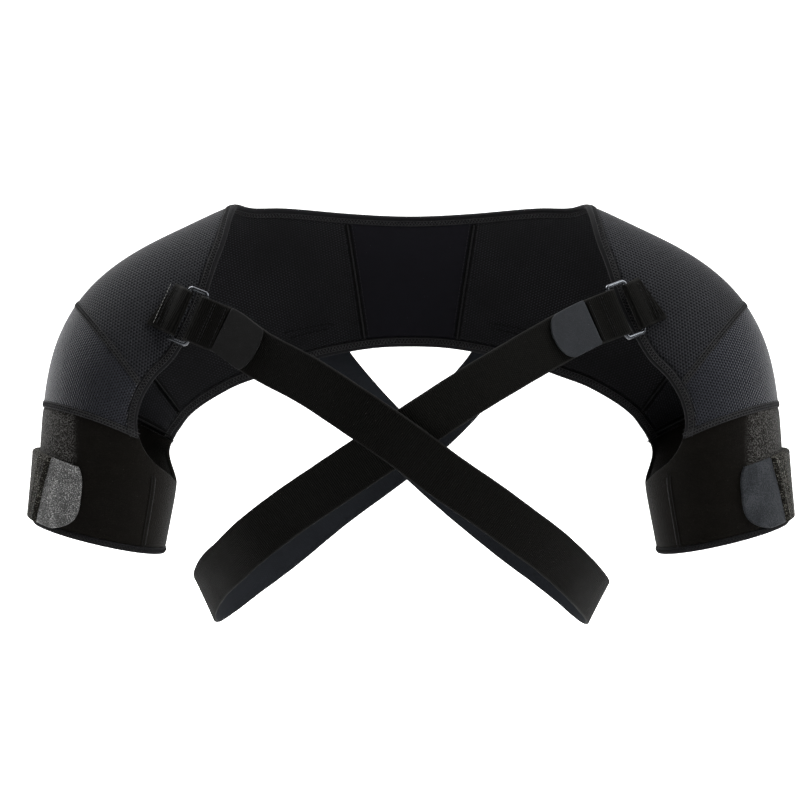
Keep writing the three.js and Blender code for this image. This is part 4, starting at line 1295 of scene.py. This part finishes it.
# a flat seam: threads on a welt outside, and inside a dark welt with a ridge and two side rows
def sewSeam(name, seam, side, shift=0.0, lines=hemLines, trim=0.0):
    ends = [placeOnLine(line, seamLength(line, seam))[1] for line in lines.values()]
    angle = np.linspace(*ends, sewing["seamPoints"])
    station = stationAlong(seamStation(seam, angle), angle, shift)
    station, angle, lengths = evenPath(station, angle, sewing["pitch"] / sewing["seamSteps"])
    kept = (lengths > trim) & (lengths < lengths[-1] - trim)
    station, angle, lengths = station[kept], angle[kept], lengths[kept]
    lifts = (-sewing["weltSink"], sewing["weltHeight"] - sewing["threadSink"])
    paths, raised = ([sewnFrame(side * station, angle, face, lift) for face in (1, -1)]
                     for lift in lifts)
    welts = [weltRings(path, sewing["weltHalf"], sewing["weltHeight"]) for path in paths]
    outside = [needleRun(raised[0], lengths, offset) for offset in sewing["needles"]]
    outside.append(zigzagRun(raised[0], lengths, sewing["zigzag"]))
    inside = [needleRun(raised[1], lengths, 0.0, sewing["ridge"])]
    points, normals, across = paths[1]
    for offset in (-sewing["sideRow"], sewing["sideRow"]):
        row = points + across * offset + normals * sewing["weltSink"]
        inside += dashRuns(row, normals, sewing["sideThread"])
    threadsObject(f"{name}_thread_outside", outside)
    threadsObject(f"{name}_thread_inside", inside, "inner thread")
    welt = threadsObject(f"{name}_welt", welts, "hem fabric")
    oneSide = (len(welt.data.polygons) - 4) // 2  # without the four end caps
    markLining(welt, range(oneSide, 2 * oneSide))


def sewHem(name, edge):
    station, angle = seamToSeam(insetLine(edge, sewing["hemLine"]))
    station, angle, lengths = evenPath(station, angle, sewing["pitch"] / sewing["hemSteps"])
    for label, face in (("outside", 1), ("inside", -1)):
        path = sewnFrame(station, angle, face, sewing["hemLift"])
        runs = [needleRun(path, lengths, offset, sewing["hemThread"])
                for offset in sewing["hemNeedles"]]
        runs.append(zigzagRun(path, lengths, sewing["hemZigzag"]))
        threadsObject(f"{name}_stitching_{label}", runs)


# a cuff's hem zigzag, and the seam that closes the cuff beside the chest
def sewCuff(side, hand):
    angle = np.linspace(-179.5, 179.5, sewing["cuffHemPoints"])
    station = stationAlong(float(lastSection), angle, -sewing["cuffHemLine"])
    station, angle, lengths = evenPath(station, angle, sewing["pitch"] / sewing["hemSteps"])
    paths = [sewnFrame(hand * station, angle, face, sewing["hemLift"]) for face in (1, -1)]
    runs = [zigzagRun(path, lengths, sewing["cuffZigzag"]) for path in paths]
    threadsObject(f"cuff_hem_stitching_{side}", runs, "inner thread")
    down = np.linspace(sewing["cuffSeamFrom"], sewing["cuffSeamTo"], 60)
    station, angle, lengths = evenPath(down, np.full(60, sewing["cuffSeamAngle"]), 0.35)
    runs, welts = [], []
    for face in (1, -1):
        path = sewnFrame(hand * station, angle, face, -0.1)
        welts.append(weltRings(path, sewing["cuffSeamHalf"], sewing["cuffSeamHeight"]))
        raised = sewnFrame(hand * station, angle, face, 0.3)
        runs += [needleRun(raised, lengths, offset, sewing["hemThread"])
                 for offset in sewing["cuffSeamNeedles"]]
    threadsObject(f"cuff_seam_welt_{side}", welts, "loop pile")
    threadsObject(f"cuff_seam_thread_{side}", runs, "inner thread")


# single lockstitches along a line, each a short thread that dips at both ends
def dashRuns(points, normals, radius=sewing["dashThread"]):
    lengths = pathLengths(points)
    runs = []
    start = sewing["dashStart"]
    while start + sewing["dash"] < lengths[-1]:
        spots = start + sewing["dash"] * np.array([0, 0.2, 0.5, 0.8, 1])
        out = unit(follow(spots, lengths, normals))
        lift = np.array([-0.1, 0.12, 0.2, 0.12, -0.1])[:, None]
        middles = follow(spots, lengths, points) + out * lift
        runs.append(threadRings(middles, out, radius * np.array([0.5, 0.9, 1, 0.9, 0.5])))
        start += sewing["dash"] + sewing["dashGap"]
    return runs


# stitches over a band of webbing, each line given by length and across at both ends
def sewBand(name, run, hand, wall, rows, face=1, finish="inner thread"):
    points, widths, lengths = run
    normals = unit(np.cross(unit(np.gradient(points, axis=0)), widths) * hand) * face
    runs = []
    for startLength, startAcross, endLength, endAcross in rows:
        spot = np.linspace(startLength, endLength, 40)
        across = np.linspace(startAcross, endAcross, 40)[:, None]
        middle, width, out = (follow(spot, lengths, part) for part in (points, widths, normals))
        runs += dashRuns(middle + unit(width) * across + unit(out) * wall / 2, unit(out))
    threadsObject(name, runs, finish)


# the tack that holds each strap's sewn end, as it shows through on the inner face; its thread is
# near black, painted shadow of the dents the tack presses in
def sewTack(side, hand):
    runs = []
    for ends in sewing["tack"]:
        spots = [findOnBody(*end, backStart) for end in ends]
        station, angle = (np.linspace(*pair, 60) for pair in zip(*spots))
        points, normals, across = sewnFrame(hand * station, angle, -1, 0.0)
        runs += dashRuns(points, normals, sewing["tackThread"])
    threadsObject(f"strap_tack_{side}", runs, "tack thread with painted shadow")


def crossRows(places, half):
    return [(place, -half, place, half) for place in places]


for side, hand in sides.items():
    sewSeam(f"centre_seam_{side}", "panelSeam", hand)
    sewSeam(f"cap_seam_{side}", "capSeam", hand)
    sewSeam(f"cuff_seam_{side}", "cuffSeam", hand, sewing["cuffShift"], freeLines,
            sewing["cuffTrim"])
    sewCuff(side, hand)
    sewTack(side, hand)
    facing, wall, anchorWall = straps[side]["hand"], webbing["wall"], webbing["anchorWall"]
    run = strapRun(straps[side], frames[side])
    near, far = run[2][-1] - sewing["boxFrom"], run[2][-1] - sewing["boxTo"]
    half = sewing["boxHalf"]
    box = [(near, -half, near, half), (near, -half, far, -half), (near, half, far, half),
           (far, -half, far, half), (near - 1, 1 - half, far + 1, half - 1),
           (near - 1, half - 1, far + 1, 1 - half)]
    sewBand(f"strap_end_stitching_{side}", run, facing, wall, box, finish="thread")
    sewBand(f"strap_fold_stitching_{side}", run, facing, wall,
            crossRows(sewing["foldRows"], sewing["rowHalf"]), face=-1)
    run = anchorRun(frames[side])[:3]
    sewBand(f"anchor_stitching_{side}", run, facing, anchorWall,
            crossRows(sewing["anchorRows"], sewing["rowHalf"]))
    # the left anchor's edge row is pale: painted highlight where light catches that edge
    sewBand(f"anchor_edge_{side}", run, facing, anchorWall,
            crossRows([sewing["anchorEdge"]], sewing["edgeHalf"]),
            finish="thread with painted highlight" if side == "left" else "inner thread")
sewHem("neck_hem", "neck")
sewHem("lower_hem", "lower")
print("sewing done")


# stage: a pale floor that curves up behind and glows towards the back, soft lights, long lens
studio = {
    "floorHeight": -0.36, "halfWidth": 6.0, "frontEdge": -4.5, "backEdge": 2.6,
    "curve": 1.4, "wallTop": 4.5,
    "glowFrom": -0.25, "glowTo": 0.15, "leastGlow": 0.04, "mostGlow": 0.8, "room": 0.07,
    "target": (-0.00748, 0.0, -0.068), "distance": 3.0, "elevation": 4.0, "focal": 198.5,
    "aim": (0, 0, -0.05),
}
softboxes = {  # place, width, height, watts
    "left softbox": ((-1.25, 0.85, 1.6), 1.2, 1.4, 90),
    "right softbox": ((1.55, -0.35, 1.5), 1.2, 1.5, 66),
    "top softbox": ((0.2, 0.45, 2.2), 2.0, 1.4, 42),
    "front fill": ((0.6, -3.2, 1.4), 1.6, 1.2, 4),
}


def addBackdrop():
    bpy.ops.object.select_all(action="DESELECT")
    bpy.ops.mesh.primitive_plane_add(size=1)
    sweep = bpy.context.active_object
    sweep.name = sweep.data.name = "pale_backdrop"
    floor, bend, curve = studio["floorHeight"], studio["backEdge"], studio["curve"]
    profile = [(studio["frontEdge"], floor), (bend, floor)]
    for degrees in np.linspace(7.5, 90, 12):
        turn = math.radians(degrees)
        profile.append((bend + curve * math.sin(turn), floor + curve * (1 - math.cos(turn))))
    profile.append((bend + curve, studio["wallTop"]))
    points = [(side * studio["halfWidth"], y, z) for y, z in profile for side in (-1, 1)]
    faces = [(2 * row, 2 * row + 1, 2 * row + 3, 2 * row + 2) for row in range(len(profile) - 1)]
    sweep.data.clear_geometry()
    sweep.data.from_pydata(points, [], faces)
    sweep.data.shade_smooth()
    paper = bpy.data.materials.new("pale paper")
    paper.use_nodes = True
    on = Shading(paper.node_tree)
    shader = paper.node_tree.nodes["Principled BSDF"]
    shader.inputs["Base Color"].default_value = (0.93, 0.93, 0.93, 1)
    shader.inputs["Roughness"].default_value = 0.9
    shader.inputs["Specular IOR Level"].default_value = 0.1
    shader.inputs["Emission Color"].default_value = (1, 1, 1, 1)
    depth = on.axes(on.add("TexCoord").outputs["Object"])[1]
    glow = [studio[name] for name in ("glowFrom", "glowTo", "leastGlow", "mostGlow")]
    on.link(on.remap(depth, *glow), shader.inputs["Emission Strength"])
    sweep.data.materials.append(paper)


def addLight(name, place, width, height, power):
    bpy.ops.object.light_add(type="AREA", location=place)
    lamp = bpy.context.active_object
    lamp.name = name
    lamp.data.shape = "RECTANGLE"
    lamp.data.size, lamp.data.size_y = width, height
    lamp.data.energy = power
    towards = Vector(studio["aim"]) - Vector(place)
    lamp.rotation_euler = towards.to_track_quat("-Z", "Y").to_euler()


addBackdrop()
for name, softbox in softboxes.items():
    addLight(name, *softbox)
world = bpy.data.worlds.new("white room")
bpy.context.scene.world = world
world.use_nodes = True
world.node_tree.nodes["Background"].inputs["Color"].default_value = (1, 1, 1, 1)
world.node_tree.nodes["Background"].inputs["Strength"].default_value = studio["room"]

tilt = math.radians(studio["elevation"])
target = Vector(studio["target"])
back = Vector((0, -math.cos(tilt), math.sin(tilt)))
bpy.ops.object.camera_add(location=target + studio["distance"] * back)
camera = bpy.context.active_object
camera.data.lens = studio["focal"]
camera.data.sensor_width = 36.0
camera.data.clip_end = 60.0
camera.rotation_euler = (math.radians(90) - tilt, 0, 0)
bpy.context.scene.camera = camera
bpy.context.scene.view_settings.view_transform = "Standard"
